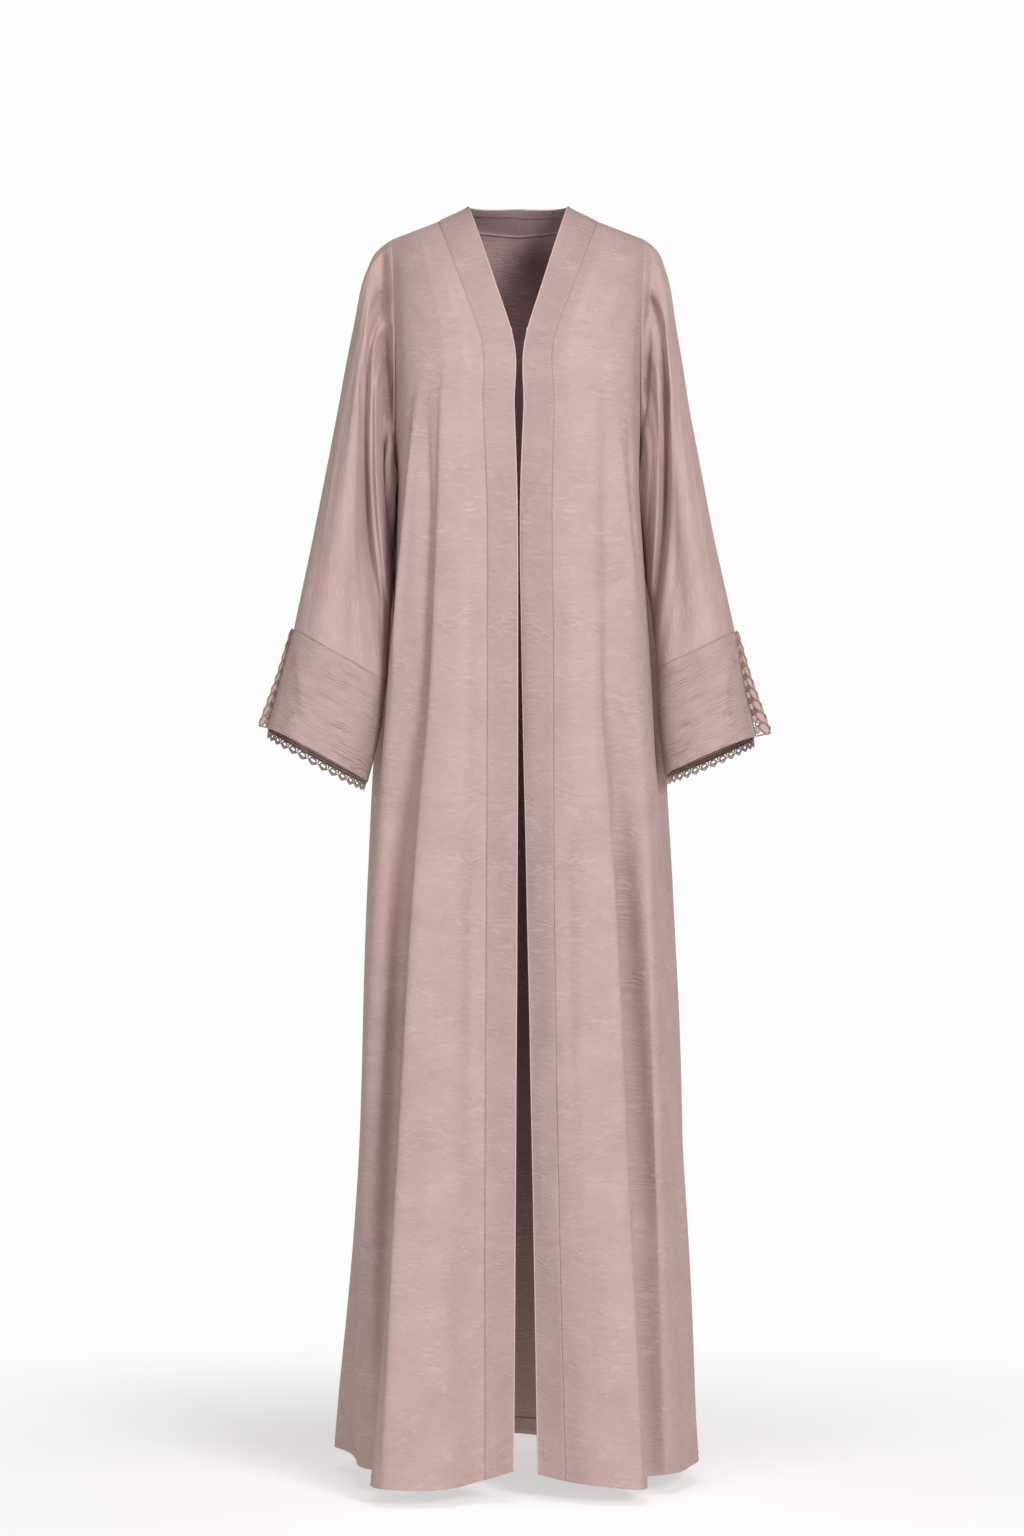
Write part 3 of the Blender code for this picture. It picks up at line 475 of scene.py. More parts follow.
def crinkle_crepe(name, strokes_along=False, shade=1.0, crinkle=0.55, long=0.0240):
    """Crinkle crepe: a base of two close dusty roses with a random mottle, and lightened along the strokes as
    a painted highlight on their ridges; and a bump of thin wavy strokes in patches over a fine grain.
    Strokes_along turns the strokes to run up the piece in place of across it, shade darkens both roses as
    painted shade, crinkle is the strength of the bump, and long is the length of a stroke."""
    made, tree, shader = new_material(name)
    flat = add_node(tree, "UVMap", uv_map="flat").outputs["UV"]

    def noise(vector, scale, detail=2.0, rough=0.5):
        inputs = {"Vector": vector, "Scale": scale, "Detail": detail, "Roughness": rough}
        return add_node(tree, "TexNoise", inputs).outputs

    def maths(operation, *values):
        return add_node(tree, "Math", dict(enumerate(values)), operation=operation).outputs[0]

    # Push each place about by a few millimetres so that the strokes wander, then stretch a noise into them.
    drift = noise(flat, 46.0, 1.0)["Color"]
    centred = add_node(tree, "VectorMath", {0: drift, 1: (0.5, 0.5, 0.5)}, operation="SUBTRACT").outputs[0]
    wander = {0: centred, 1: (STROKE_WANDER, STROKE_WANDER, 0.0), 2: flat}
    pushed = add_node(tree, "VectorMath", wander, operation="MULTIPLY_ADD").outputs[0]
    across, along = (STROKE_WIDTH, long) if strokes_along else (long, STROKE_WIDTH)
    sized = add_node(tree, "Mapping", {"Vector": pushed, "Scale": (1 / across, 1 / along, 1)})
    strokes = noise(sized.outputs["Vector"], 1.0, 1.5, 0.45)["Fac"]
    # A stroke is a thin line where the noise crosses its middle value.
    off_middle = maths("ABSOLUTE", maths("SUBTRACT", strokes, 0.5))
    thin = maths("SUBTRACT", 1.0, maths("MINIMUM", 1.0, maths("MULTIPLY", 11.0, off_middle)))
    patches = maths("MULTIPLY", 4.5, maths("SUBTRACT", noise(flat, 21.0)["Fac"], 0.40))
    drawn = maths("MULTIPLY", thin, maths("MINIMUM", 1.0, maths("MAXIMUM", 0.45, patches)))
    blurred = maths("MULTIPLY", strokes, 0.15)
    grain = maths("MULTIPLY", noise(flat, 1300.0, 1.0)["Fac"], 0.12)
    height = maths("ADD", maths("ADD", drawn, blurred), grain)
    bump = add_node(tree, "Bump", {"Height": height, "Strength": crinkle, "Distance": 0.0012})

    # Painted highlight: the colour is lightened along the strokes, where light would catch the crinkles'
    # ridges, over a random mottle.
    mottle_and_painted_highlight = maths("ADD", maths("MULTIPLY", drawn, 0.42), noise(flat, 16.0, 3.0)["Fac"])
    ramp = add_node(tree, "ValToRGB", {"Fac": mottle_and_painted_highlight})
    for element, (position, rose) in zip(ramp.color_ramp.elements, CREPE_ROSES):
        element.position = position
        element.color = (*(part * shade for part in rose), 1)
    set_inputs(shader, {
        "Base Color": ramp.outputs["Color"],
        "Normal": bump.outputs["Normal"],
        "Roughness": 0.82,
        "Specular IOR Level": 0.30,
        "Sheen Weight": 0.22,
        "Sheen Roughness": 0.45,
        "Sheen Tint": (0.95, 0.80, 0.76, 1),
    })
    return made


crepe = crinkle_crepe("dusty rose crinkle crepe")

PANEL_ROWS = 470
FRONT_COLUMN_COUNT = 150
BACK_COLUMN_COUNT = 204
FREE_OF_SEAM = 0.02         # creases die away over this much cloth beside a seam
FREE_OF_TOP = 0.03          # and over this share of the panel's length below its top seam
SIDE_SEAM_END = 0.87        # share of the panel's length at which the side seam no longer draws the cloth in
SIDE_SEAM_FADE = 0.05
panel_v = np.linspace(0, 1, PANEL_ROWS)
side_seam_sinks = np.clip((SIDE_SEAM_END - panel_v) / SIDE_SEAM_FADE, 0, 1)

# Soft creases of each front on the flat cloth: where each starts, across from the band seam and up from the
# hem, where it ends, how far it stands out (a hollow is negative), its half widths towards the band and
# away from it, and how far it bows aside.
FRONT_CREASES = {
    RIGHT: (
        ("bust ridge",       .078,  .86,  .044, 1.39,   .003, .014, .0045,     0),
        ("bust hollow",        .1,   .7,   .07, 1.35,  -.006, .005,   .01,     0),
        ("armhole ridge",    .146,   .9,  .078, 1.34,   .004, .005,  .005,  .003),
        ("armhole hollow",    .14,  .98,   .09, 1.33,  -.004, .004,  .009,  .004),
        ("main fold edge",    .14, -.14,  .074,    1,  .0045, .014, .0045,     0),
        ("main fold hollow", .153, -.14,  .086,    1,  -.006, .005,  .012,     0),
        ("side ridge",       .295,  -.1, .1574,  .93,   .012, .012,   .03, -.006),
        ("side line",        .306,  .05,  .205,  .76,  .0012, .003,  .003,     0),
        ("band hollow",      .026,  .12,   .02,   .9, -.0014,  .01,   .01, -.003),
    ),
    LEFT: (
        ("bust ridge",        .05,   .7,  .047, 1.38,   .003, .013,  .009,     0),
        ("bust hollow",       .07,   .8,  .064,  1.3, -.0022, .008,  .011,  .002),
        ("middle ridge",     .112, 1.03,  .076, 1.31,   .003, .008,  .005,     0),
        ("armhole hollow",   .116, 1.08,  .098, 1.29,  -.004, .006,  .006,     0),
        ("main fold edge",   .103, -.14,  .063,    1,   .004, .014, .0045,     0),
        ("main fold hollow", .168,  .12,   .09,   .9,  -.018, .006,  .028,  .002),
        ("low fold hollow",   .19,  -.2,   .14,   .3,   -.01, .005,  .024,  .002),
        ("side line",        .235,  .03,   .19,  .76,  .0012, .003,  .003,     0),
        ("band hollow",      .026,  .12,   .02,   .9, -.0014,  .01,   .01, -.003),
    ),
}
# The same for the back, across from its middle, positive to the left.
BACK_CREASES = (
    ("left blade fold",   .076,  .64,  .095,  1.4,  -.004, .012, .018,  .004),
    ("right blade fold",  -.09,   .7,  -.07, 1.38, -.0045, .018, .012, -.004),
    ("left skirt fold",    .21, -.15,  .105,    1,  -.008,  .03,  .02, -.005),
    ("left skirt ridge",    .3, -.15,   .15,   .7,  .0045,  .02, .022,  .004),
    ("middle fold",       -.03, -.15,  -.01,  .78,  -.005,  .02, .025,  .005),
    ("right skirt fold",  -.23, -.15,  -.11,   .9,  -.009, .022,  .03,  .004),
    ("right skirt ridge", -.31, -.15, -.145,  .82,   .004,  .02,  .02, -.003),
)
hem_lines = []              # where each hem is stitched: points and normals


def even_places(sheet, first, last, count):
    """Places from first to last across a sheet, spaced evenly over the cloth."""
    whole = np.arange(len(sheet.all)) - sheet.extra
    ends = np.interp([first, last], whole, sheet.knots)
    return np.interp(np.linspace(*ends, count), sheet.knots, whole)


def hemmed(points, normals, reach):
    """The rows of a sheet and their normals with its hem turned up inside. Reach is the run up from the
    edge at each row, and the line of the stitches is added to hem_lines."""
    stitched = int(np.argmin(abs(reach - HEM_STITCH_UP)))
    hem_lines.append((points[:, stitched], normals[:, stitched]))
    hem = turned_edge(points, normals, HEM_TURN_UP, reach)
    rows = np.concatenate([hem, points], axis=1)
    return rows, np.concatenate([np.repeat(normals[:, :1], hem.shape[1], axis=1), normals], axis=1)


def worn(made, slot, *nodes):
    """Rides a piece on the cloak in place of the CAD nodes named, which it hides. The slot is not used."""
    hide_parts(*nodes)
    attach(made, "root")
    return made


def panel(name, points, flat, outward, table, hand, sinks, *nodes):
    """A body panel: its grid moved out by its creases and its uneven hand, which is what ripples takes, and
    drawn in at its two seams by the share that sinks gives for each. Its hem is turned up, a lip of cloth is
    turned in along each seam, and it dresses the CAD nodes named."""
    near, far = flat[..., 0] - flat[0, :, 0], flat[-1, :, 0] - flat[..., 0]
    relief = creases(flat, table) + ripples(flat, *hand)
    relief *= np.clip(np.minimum(near, far) / FREE_OF_SEAM, 0, 1)
    relief += sunk(near) * sinks[0] + sunk(far) * sinks[1]
    relief *= np.clip((1 - panel_v) / FREE_OF_TOP, 0, 1)
    shaped = points + grid_normals(points) * outward * relief[..., None]
    rows, normals = hemmed(shaped, grid_normals(shaped) * outward, flat[..., 1].mean(axis=0))
    run, turned = run_along(rows), rows.shape[1] - PANEL_ROWS
    wide = np.pad(flat[..., 0], ((0, 0), (turned, 0)), mode="edge")
    places = np.stack([wide, np.broadcast_to(run - run[turned], wide.shape)], axis=-1)
    lips = rows[[0, -1]] - normals[[0, -1]] * SEAM_LIP
    rows = np.concatenate([lips[:1], rows, lips[1:]])
    places = np.concatenate([places[:1] - (SEAM_LIP, 0), places, places[-1:] + (SEAM_LIP, 0)])
    return worn(cloth_mesh(name, rows, places, crepe, outward), "crepe", *nodes)


for side, word in SIDES:
    sheet = front_sheet(side)
    points = sheet.at(even_places(sheet, 1, len(sheet.lines) - 1, FRONT_COLUMN_COUNT), panel_v)
    front = panel(
        f"front_panel_{word}", points, flat_map(points), side,
        FRONT_CREASES[side], (11 + side, 0.0005, 0.06, 0.70), (1, side_seam_sinks),
        f"front_{word}_skirt", f"front_{word}_waist", f"front_{word}_chest",
    )

sheet = back_sheet()
points = sheet.at(even_places(sheet, 0, len(sheet.lines) - 1, BACK_COLUMN_COUNT), panel_v)
back = panel(
    "back_panel", points, flat_map(points, BACK_COLUMN_COUNT // 2), -1,
    BACK_CREASES, (5, 0.0008, 0.08, 0.80), (side_seam_sinks, side_seam_sinks),
    "back_skirt", "back_waist", "back_chest",
)

# ---------------------------------------------------------------------------------------------------------
# The band: up one front edge, round the neck and down the other
#
# Two strips of the same crepe cut on the straight, folded over the front edges and joined at the centre back.
# The outer edge of each is seamed to its front and to the back neck, and the free edge is turned under.
# ---------------------------------------------------------------------------------------------------------
BAND_COLUMN_COUNT = 20
BAND_NECK_ROWS = 70
BAND_TURN_UNDER = 0.012
BAND_ROLL = 0.0004          # how far the free edge swells where it is turned under
BAND_ROLL_REACH = 0.004


def neck_edge(side, seam):
    """The band's free edge from the shoulder seam to the centre back, over each place of its seam: a quarter
    oval at the height and depth of the back neck."""
    share = np.degrees(np.arctan2(seam[:, 1] / seam[-1, 1], seam[:, 0] / seam[0, 0])) / 90
    share[-1] = 1.0
    return np.array([round_neck(side, s, NECK_POINT, BACK_NECK) for s in share])


# The bands are the same crepe with both roses darkened: painted shade.
painted_shade_band_crepe = crinkle_crepe("dusty rose crinkle crepe, bands in painted shade", shade=0.91)

front_edges = {}            # of each side: points, normals and ways out
back_lines = back_sheet()
for side, word in SIDES:
    shares = np.linspace(0, 1, BAND_COLUMN_COUNT)
    centre = (len(back_lines.lines) - 1) / 2
    corner = BAND_CORNER if side == RIGHT else 2 * centre - BAND_CORNER
    behind = back_lines.at(np.linspace(corner, centre, BAND_NECK_ROWS), [1.0])[:, 0]
    neck, seam_share = neck_edge(side, behind), shares[:, None, None]
    rest = neck[None, 1:] * (1 - seam_share) + behind[None, 1:] * seam_share
    points = np.concatenate([front_sheet(side).at(shares, panel_v), rest], axis=1)
    flat = flat_map(points)
    roll = np.clip(1 - flat[..., 0] / BAND_ROLL_REACH, 0, 1)
    relief = sunk(flat[-1, :, 0] - flat[..., 0]) + BAND_ROLL * roll
    relief += ripples(flat, 31 + side, 0.0003, 0.05, 0.30)
    points = points + grid_normals(points) * side * relief[..., None]
    normals = grid_normals(points) * side
    front_edges[side] = points[0], normals[0], unit(points[0] - points[1])
    rows, normals = hemmed(points, normals, flat[..., 1].mean(axis=0))
    wide = flat[..., 0].mean(axis=1)
    edge = turned_edge(rows.swapaxes(0, 1), normals.swapaxes(0, 1), BAND_TURN_UNDER, wide).swapaxes(0, 1)
    rows = np.concatenate([edge, rows, [rows[-1] - normals[-1] * SEAM_LIP]])
    band = cloth_mesh(f"front_band_{word}", rows, flat_map(rows), painted_shade_band_crepe, side)
    worn(band, "crepe", f"band_{word}_skirt", f"band_{word}_waist", f"band_{word}_neck")

# ---------------------------------------------------------------------------------------------------------
# The sleeves
#
# Wide tubes of the same crepe, set into the deep armholes from the shoulder tip to the underarm and seamed
# below. They hang nearly straight, with long folds down them, and end at the cuff seam.
# ---------------------------------------------------------------------------------------------------------
# Rings of each sleeve and cuff: share of the way along, x and z of the outer line, which runs on from the
# shoulder, x and z of the under line, which runs on from the underarm, and how deep the ring reaches in
# front, at those two lines and behind.
SLEEVE_RINGS = {
    RIGHT: (
        (.05, .1725,  -.054,  .151,  -.352, -.075,  .003, .074),
        (.12, .1853, -.0777,  .153,  -.366, -.082,  .004, .077),
        (.3,   .202,   -.15, .1545,    -.4, -.088, -.004, .069),
        (.52, .2225,  -.262,  .156,  -.448,  -.09, -.016,  .05),
        (.76,  .248,  -.398, .1565,  -.514,   -.1, -.036, .026),
        (1,    .273, -.5204,   .16, -.5831, -.108, -.052, .004),
    ),
    LEFT: (
        (.05,   .17,  -.054,  .151,  -.352, -.075,  .003, .074),
        (.12, .1804, -.0777, .1535,  -.366, -.082,  .004, .077),
        (.3,  .1945,   -.15, .1565,    -.4, -.088, -.004, .069),
        (.52, .2125,  -.262, .1605,  -.445,  -.09, -.016,  .05),
        (.76,  .237,  -.398, .1645,  -.508,   -.1, -.036, .026),
        (1,   .2631, -.5234, .1692, -.5673, -.108, -.052, .004),
    ),
}

# Long folds of the sleeve: where round the ring (degrees from the outer line, front first), how far they
# stand out near the shoulder, halfway and at the cuff, and half their width in degrees.
SLEEVE_FOLDS = (
    ("front ridge",   66,  .004,  .008,  .002, 20),
    ("front hollow", 104, -.004,  -.01, -.003, 22),
    ("under ridge",  146,  .002,  .004,  .002, 20),
    ("back ridge",   296,  .003,  .007,  .002, 22),
    ("back hollow",  254, -.003, -.009, -.003, 24),
    ("outer hollow", 326,     0, -.004, -.001, 16),
)


def armhole_ring(side, degrees):
    """Points just outside the armhole, round from the shoulder tip over the front, underarm and back."""
    points = []
    for angle in np.asarray(degrees) % 360:
        half = min(angle, 360 - angle) / 90
        v = 1 - (1 - CHEST_V) * half if half <= 1 else CHEST_V - (CHEST_V - UNDERARM_V) * (half - 1)
        points.append(read_line(armhole_line(side, -1 if angle <= 180 else 1), [v], True)[0])
    return np.array(points) + [side * 2 * SEAM_GAP, 0, 0]


def ring(side, row, degrees, tilt=0.0):
    """Points of one ring: an oval whose long axis runs from the outer line to the under line."""
    _, outer_x, outer_z, under_x, under_z, front, middle, back = row
    along, across = np.cos(np.radians(degrees)), np.sin(np.radians(degrees))
    x = (outer_x + under_x) / 2 + (outer_x - under_x) / 2 * along
    z = (outer_z + under_z) / 2 + (outer_z - under_z) / 2 * along
    y = middle + np.where(across > 0, front - middle, middle - back) * across
    return np.stack([side * x, y, z + tilt * across], axis=-1)


def sleeve_folds(degrees, along):
    """How far the sleeve's long folds stand out, (round, along): each is a bell curve round the ring, and
    its height runs smoothly down the sleeve through the three of its row."""
    out = np.zeros((len(degrees), len(along)))
    for _, place, shoulder, middle, cuff, half_width in SLEEVE_FOLDS:
        away = (np.asarray(degrees) - place + 180) % 360 - 180
        heights = through([0, 0.12, 0.5, 1], [0, shoulder, middle, cuff], along)
        out += np.outer(np.exp(-((away / half_width) ** 2)), heights)
    return out


def tube(rings, knots, along, folds):
    """Points of a tube through the rings, (round, along, 3), with the folds stood out from its middle
    line."""
    points = through(knots, rings, along).transpose(1, 0, 2)
    middle = points.mean(axis=0, keepdims=True)
    return points + unit(points - middle) * folds[..., None]


SLEEVE_ROUND_COUNT = 200
SLEEVE_ROW_COUNT = 170
BODY_RING_INSET = 0.020     # how far inside the armhole the sleeve's slope is taken from
ARMHOLE_FREE = 0.015        # creases rise to their full height over this much cloth below the armhole
# Soft creases of each sleeve, in the columns of the fronts' creases: across is the run round the sleeve
# from its outer line, negative to the front, and up is the run down from the armhole.
SLEEVE_CREASES = {
    RIGHT: (
        ("shoulder fold", -.055,  .03,  -.15, .125, -.004, .012,  .02,  .008),
        ("armhole tuck",   -.12, .014,  -.26, .022, -.012, .009, .009,     0),
        ("underarm nick", -.215,  .03,  -.29,  .07, -.005, .005, .005,  .004),
        ("outer ridge",    -.06,  .06,  -.05,  .33, .0012, .006, .006,  .004),
        ("outer hollow",   -.02,  .08, -.015,  .33, -.001, .008, .008, -.004),
        ("inner side",     -.34, -.06, -.235,  .33, .0035, .022, .045,     0),
        ("underarm",      -.345, -.03,  -.31,  .12, .0045,  .02, .025,     0),
        ("back fold",       .14,  .06,   .15,   .3, -.006, .008, .012,  .005),
        ("back ridge",     .175,  .05,   .18,  .25,  .003, .007, .007, -.003),
    ),
    LEFT: (
        ("shoulder fold",  -.09,  .03,  -.16, .125, -.003, .013, .013,  .008),
        ("armhole tuck",   -.11,  .01,  -.25, .018,  -.01, .008, .008,     0),
        ("outer ridge",   -.056,  .07, -.048,  .34, .0012, .006, .006, -.004),
        ("outer hollow",  -.018,  .06, -.012,  .31, -.001, .008, .008,  .004),
        ("inner side",     -.34, -.06, -.235,  .33, .0055, .022, .045,     0),
        ("underarm",      -.345, -.03,  -.31,  .12, .0045,  .02, .025,     0),
        ("back fold",      .146,  .05,  .142,  .32, -.006, .008, .012, -.004),
        ("back ridge",      .18,  .06,  .186,  .23,  .003, .007, .007,  .003),
    ),
}
# The deep folds down the front of each sleeve, in the same columns. They stand straight forward of its
# form, or back from it.
SLEEVE_FRONT_FOLDS = {
    RIGHT: (
        ("front fold",     -.06, -.05, -.155, .355, -.021, .011,  .03,  -.05),
        ("front ridge",    -.13, -.05, -.185, .355,  .011,  .03, .014, -.055),
        ("inner hollow",    -.2, -.05,  -.16, .355, -.026,  .03,  .02, -.085),
        ("armhole hollow",  .02,  .02,  -.27,  .02, -.027, .013, .026,     0),
    ),
    LEFT: (
        ("front fold",     -.06, -.05,  -.18, .355, -.024,  .03, .011, -.036),
        ("front ridge",    -.12, -.05,  -.21, .355,  .005, .022, .015, -.055),
        ("armhole hollow",  .02,  .02,  -.27,  .02, -.014, .013, .026,     0),
    ),
}
sleeve_crepe = crinkle_crepe("dusty rose crinkle crepe, sleeves", strokes_along=True, crinkle=0.40)


def body_ring(side, degrees):
    """Points of the body a little inside the armhole, against each place of the armhole ring: on the next
    fold line over the shoulder, and straight in from the ring further down."""
    row = BACK_LINES[side][0]
    lines = {-1: front_sheet(side).lines[-2], 1: fold_line(side, row, *back_top(side, row[-1]))}
    around, nearby = armhole_ring(side, degrees), []
    for angle, place in zip(np.asarray(degrees) % 360, around):
        half = min(angle, 360 - angle) / 90
        on_line = read_line(lines[-1 if angle <= 180 else 1], [1 - (1 - CHEST_V) * min(half, 1)])[0]
        down = np.clip((half - 0.6) / 0.5, 0, 1)
        nearby.append(on_line * (1 - down) + (place - [side * BODY_RING_INSET, 0, 0]) * down)
    return np.array(nearby)


def sleeve_shape(side, degrees, along):
    """The sleeve's surface, leaving the armhole along the slope of the body."""
    rows = SLEEVE_RINGS[side]
    seam = armhole_ring(side, degrees) - [side * 2 * SEAM_GAP, 0, 0]
    rings = [body_ring(side, degrees), seam, *[ring(side, row, degrees) for row in rows]]
    return tube(rings, [-0.05, 0.0, *[row[0] for row in rows]], along, sleeve_folds(degrees, along))


def closed_normals(points):
    """Normals of a grid whose last row is its first: the steps across run on past the join."""
    ring_run = np.concatenate([points[-2:-1], points, points[1:2]])
    round_step = (ring_run[2:] - ring_run[:-2]) / 2
    return unit(np.cross(np.gradient(points, axis=1), round_step))


def tube_grid(surface, side, degrees, rows, relief_of, forward_of=None):
    """A sheet wrapped round an arm, moved straight forward by one height and then out by its relief: its
    points, flat cloth and outward normals."""
    points = surface(side, degrees, np.linspace(0, 1, rows))
    points[-1] = points[0]
    flat = flat_map(points, int(np.argmin(abs(degrees))))
    if forward_of is not None:
        forward = forward_of(side, flat)
        forward[-1] = forward[0]
        points[..., 1] -= forward
    normals = closed_normals(points) * side
    relief = relief_of(side, flat)
    relief[-1] = relief[0]
    points = points + normals * relief[..., None]
    return points, flat, closed_normals(points) * side


def below_armhole(flat):
    """A smooth step from 0 at the armhole to 1 a little below it."""
    start = np.clip(flat[..., 1] / ARMHOLE_FREE, 0, 1)
    return start**2 * (3 - 2 * start)


def sleeve_relief(side, flat):
    """The sleeve's creases and uneven hand, which start a little below the armhole, and its cuff seam."""
    relief = creases(flat, SLEEVE_CREASES[side]) + ripples(flat, 51 + side, 0.0005, 0.04, 0.25)
    return relief * below_armhole(flat) + sunk(flat[0, -1, 1] - flat[..., 1])


def sleeve_forward(side, flat):
    """The deep front folds, which start a little below the armhole."""
    return creases(flat, SLEEVE_FRONT_FOLDS[side]) * below_armhole(flat)


# From the inner side over the front to the outer line and round the back, closest where the front folds are.
sleeve_degrees = np.interp(np.linspace(0, 1, SLEEVE_ROUND_COUNT), [0, 0.04, 0.52, 1], [180, 170, 50, -180])
for side, word in SIDES:
    points, flat, normals = tube_grid(
        sleeve_shape, side, sleeve_degrees, SLEEVE_ROW_COUNT, sleeve_relief, sleeve_forward
    )
    lips = points[:, [0, -1]] - normals[:, [0, -1]] * SEAM_LIP
    rows = np.concatenate([lips[:, :1], points, lips[:, 1:]], axis=1)
    places = np.concatenate([flat[:, :1] - (0, SEAM_LIP), flat, flat[:, -1:] + (0, SEAM_LIP)], axis=1)
    sleeve = cloth_mesh(f"sleeve_tube_{word}", rows, places, sleeve_crepe, -side, closed=True)
    worn(sleeve, "crepe", f"sleeve_{word}")

# ---------------------------------------------------------------------------------------------------------
# The cuffs
#
# Deep turned-back cuffs of the same crepe, cut across the weave so that its blisters run round the arm. Each
# is seamed to its sleeve and faced with itself, so its hem is a folded edge.
# ---------------------------------------------------------------------------------------------------------
CUFF_RINGS = {
    RIGHT: (
        (0,   .273, -.5204,   .16, -.5831, -.108, -.052, .004),
        (.5,  .288,   -.58,  .168,  -.646, -.111, -.054, .003),
        (1,  .3052, -.6404, .1826,  -.706, -.113, -.056, .001),
    ),
    LEFT: (
        (0,  .2631, -.5234, .1692, -.5673, -.108, -.052, .004),
        (.5, .2745,  -.587, .1715,  -.635, -.111, -.054, .003),
        (1,  .2882, -.6513,  .178, -.6975, -.113, -.056, .001),
    ),
}
CUFF_TILT = 0.005           # the front of the cuff's hem is this much above its middle, and the back below
CUFF_FOLDS_LOST = 0.7       # share of the sleeve's folds that has died away at the cuff's hem


def cuff_surface(side, degrees, along):
    """The cuff, whose first ring carries on the sleeve's folds and lets them die away towards the hem."""
    rows = CUFF_RINGS[side]
    rings = [ring(side, row, degrees, CUFF_TILT * row[0]) for row in rows]
    folds = sleeve_folds(degrees, [1.0]) * (1 - np.asarray(along) * CUFF_FOLDS_LOST)
    return tube(rings, [row[0] for row in rows], along, folds)


CUFF_ROUND_COUNT = 150
CUFF_ROW_COUNT = 52
CUFF_FACING = 0.030         # depth of the cloth turned in at its hem
CUFF_CREASES = {
    RIGHT: (
        ("slant fold",  -.03,  .01,  -.09, .11,  .0026, .011, .008,  .004),
        ("hem dip",     -.09,  .07,  -.07,  .2, -.0016, .012, .012,     0),
        ("back fold",    .06,  .01,   .09, .16,  -.002, .011, .011, -.003),
    ),
    LEFT: (
        ("slant fold", -.025, .005,  -.08, .12,  .0024, .009,  .01, -.004),
        ("hem dip",    -.095,  .06, -.065,  .2, -.0014, .013, .013,     0),
        ("back fold",    .07,  .02,  .085, .15,  -.002, .012,  .01,  .003),
    ),
}


def cuff_relief(side, flat):
    """The cuff's creases and uneven hand, and its seam with the sleeve."""
    relief = creases(flat, CUFF_CREASES[side]) + ripples(flat, 71 + side, 0.0004, 0.04, 0.15)
    return relief + sunk(flat[..., 1])


# The cuffs' crepe has both roses darkened as painted shade, with a stronger bump and longer strokes.
painted_shade_cuff_crepe = crinkle_crepe("dusty rose crinkle crepe, cuffs in painted shade", shade=0.94, crinkle=1.0, long=0.0600)
for side, word in SIDES:
    degrees = np.linspace(180, -180, CUFF_ROUND_COUNT)
    points, flat, normals = tube_grid(cuff_surface, side, degrees, CUFF_ROW_COUNT, cuff_relief)
    from_hem = flat[0, -1, 1] - flat[..., 1].mean(axis=0)
    hem = turned_edge(points[:, ::-1], normals[:, ::-1], CUFF_FACING, from_hem[::-1])[:, ::-1]
    lip = (points[:, 0] - normals[:, 0] * SEAM_LIP)[:, None]
    rows = np.concatenate([lip, points, hem], axis=1)
    wide = np.pad(flat[..., 0], ((0, 0), (1, hem.shape[1])), mode="edge")
    places = np.stack([wide, np.broadcast_to(-run_along(rows), wide.shape)], axis=-1)
    cuff = cloth_mesh(f"cuff_{word}", rows, places, painted_shade_cuff_crepe, -side, closed=True)
    worn(cuff, "crepe", f"cuff_front_{word}", f"cuff_back_{word}")

# ---------------------------------------------------------------------------------------------------------
# The lace: a wedge down each cuff's outer line and a strip round the back of its hem
#
# Corded cotton lace with leaves, eyelets and scallops, in a browner rose than the crepe. The wedge is sewn to
# the cuff's outer line and widens towards the hem, and the strip hangs from the inside of the hem.
# ---------------------------------------------------------------------------------------------------------
LACE_CORD = 0.0010          # radius of the cords
LACE_SLIM_CORD = 0.0007
LACE_STATIONS = 41          # along the sewn edge of a strip
SIDE_LACE_WIDTH = {RIGHT: (0.0036, 0.0074, 0.0125), LEFT: (0.0050, 0.0130, 0.0235)}     # top, middle and hem
SIDE_LACE_REPEATS = 9
FILLED_LEAF_WIDTH = 0.005   # narrower than this, the leaves are open
NET_TOP, NET_BOTTOM = 0.01, 0.86    # the net's shares of the way down; the eyelets below it are open
NET_REACH = 0.62            # share of the width that the net fills
HEM_LACE_DROP = 0.0105
HEM_LACE_REPEATS = 14
HEM_LACE_START, HEM_LACE_ROUND = 356, 172    # degrees from the cuff's outer line, and run round its back
HEM_LACE_INSIDE = 0.0024    # how far the strip lies inside the cuff's outer face
HEM_LACE_CORDS = (-0.002, 0.0012)    # distances down of its two straight cords
HEM_LACE_BAR = 0.0075       # length of the bars that run down from the first cord
FORWARD = np.array([0.0, -1.0, 0.0])


def lace_thread(name, colour, rough):
    """Matt cotton in one colour, with a fine bump of twisted thread."""
    made, tree, shader = new_material(name)
    place = add_node(tree, "TexCoord").outputs["Object"]
    twist = add_node(tree, "TexNoise", {"Vector": place, "Scale": 1500.0}).outputs["Fac"]
    bump = add_node(tree, "Bump", {"Height": twist, "Strength": 0.5, "Distance": 0.0003}).outputs["Normal"]
    colour = (*colour, 1)
    set_inputs(shader, {"Base Color": colour, "Roughness": rough, "Specular IOR Level": 0.25, "Normal": bump})
    return made


lace_cord_cotton = lace_thread("rose brown lace cord", (0.29, 0.185, 0.160), 0.75)
lace_leaf_cotton = lace_thread("pale rose lace filling", (0.46, 0.350, 0.325), 0.90)


def read_rows(at, knots, *tables):
    """Points or directions of each table, read at places between the knots."""
    return [np.stack([np.interp(at, knots, table[:, k]) for k in range(3)], axis=-1) for table in tables]


def width_at(strip, along):
    """The width of a lace strip at shares along it."""
    return np.interp(along, [0, 0.5, 1], strip[-1])


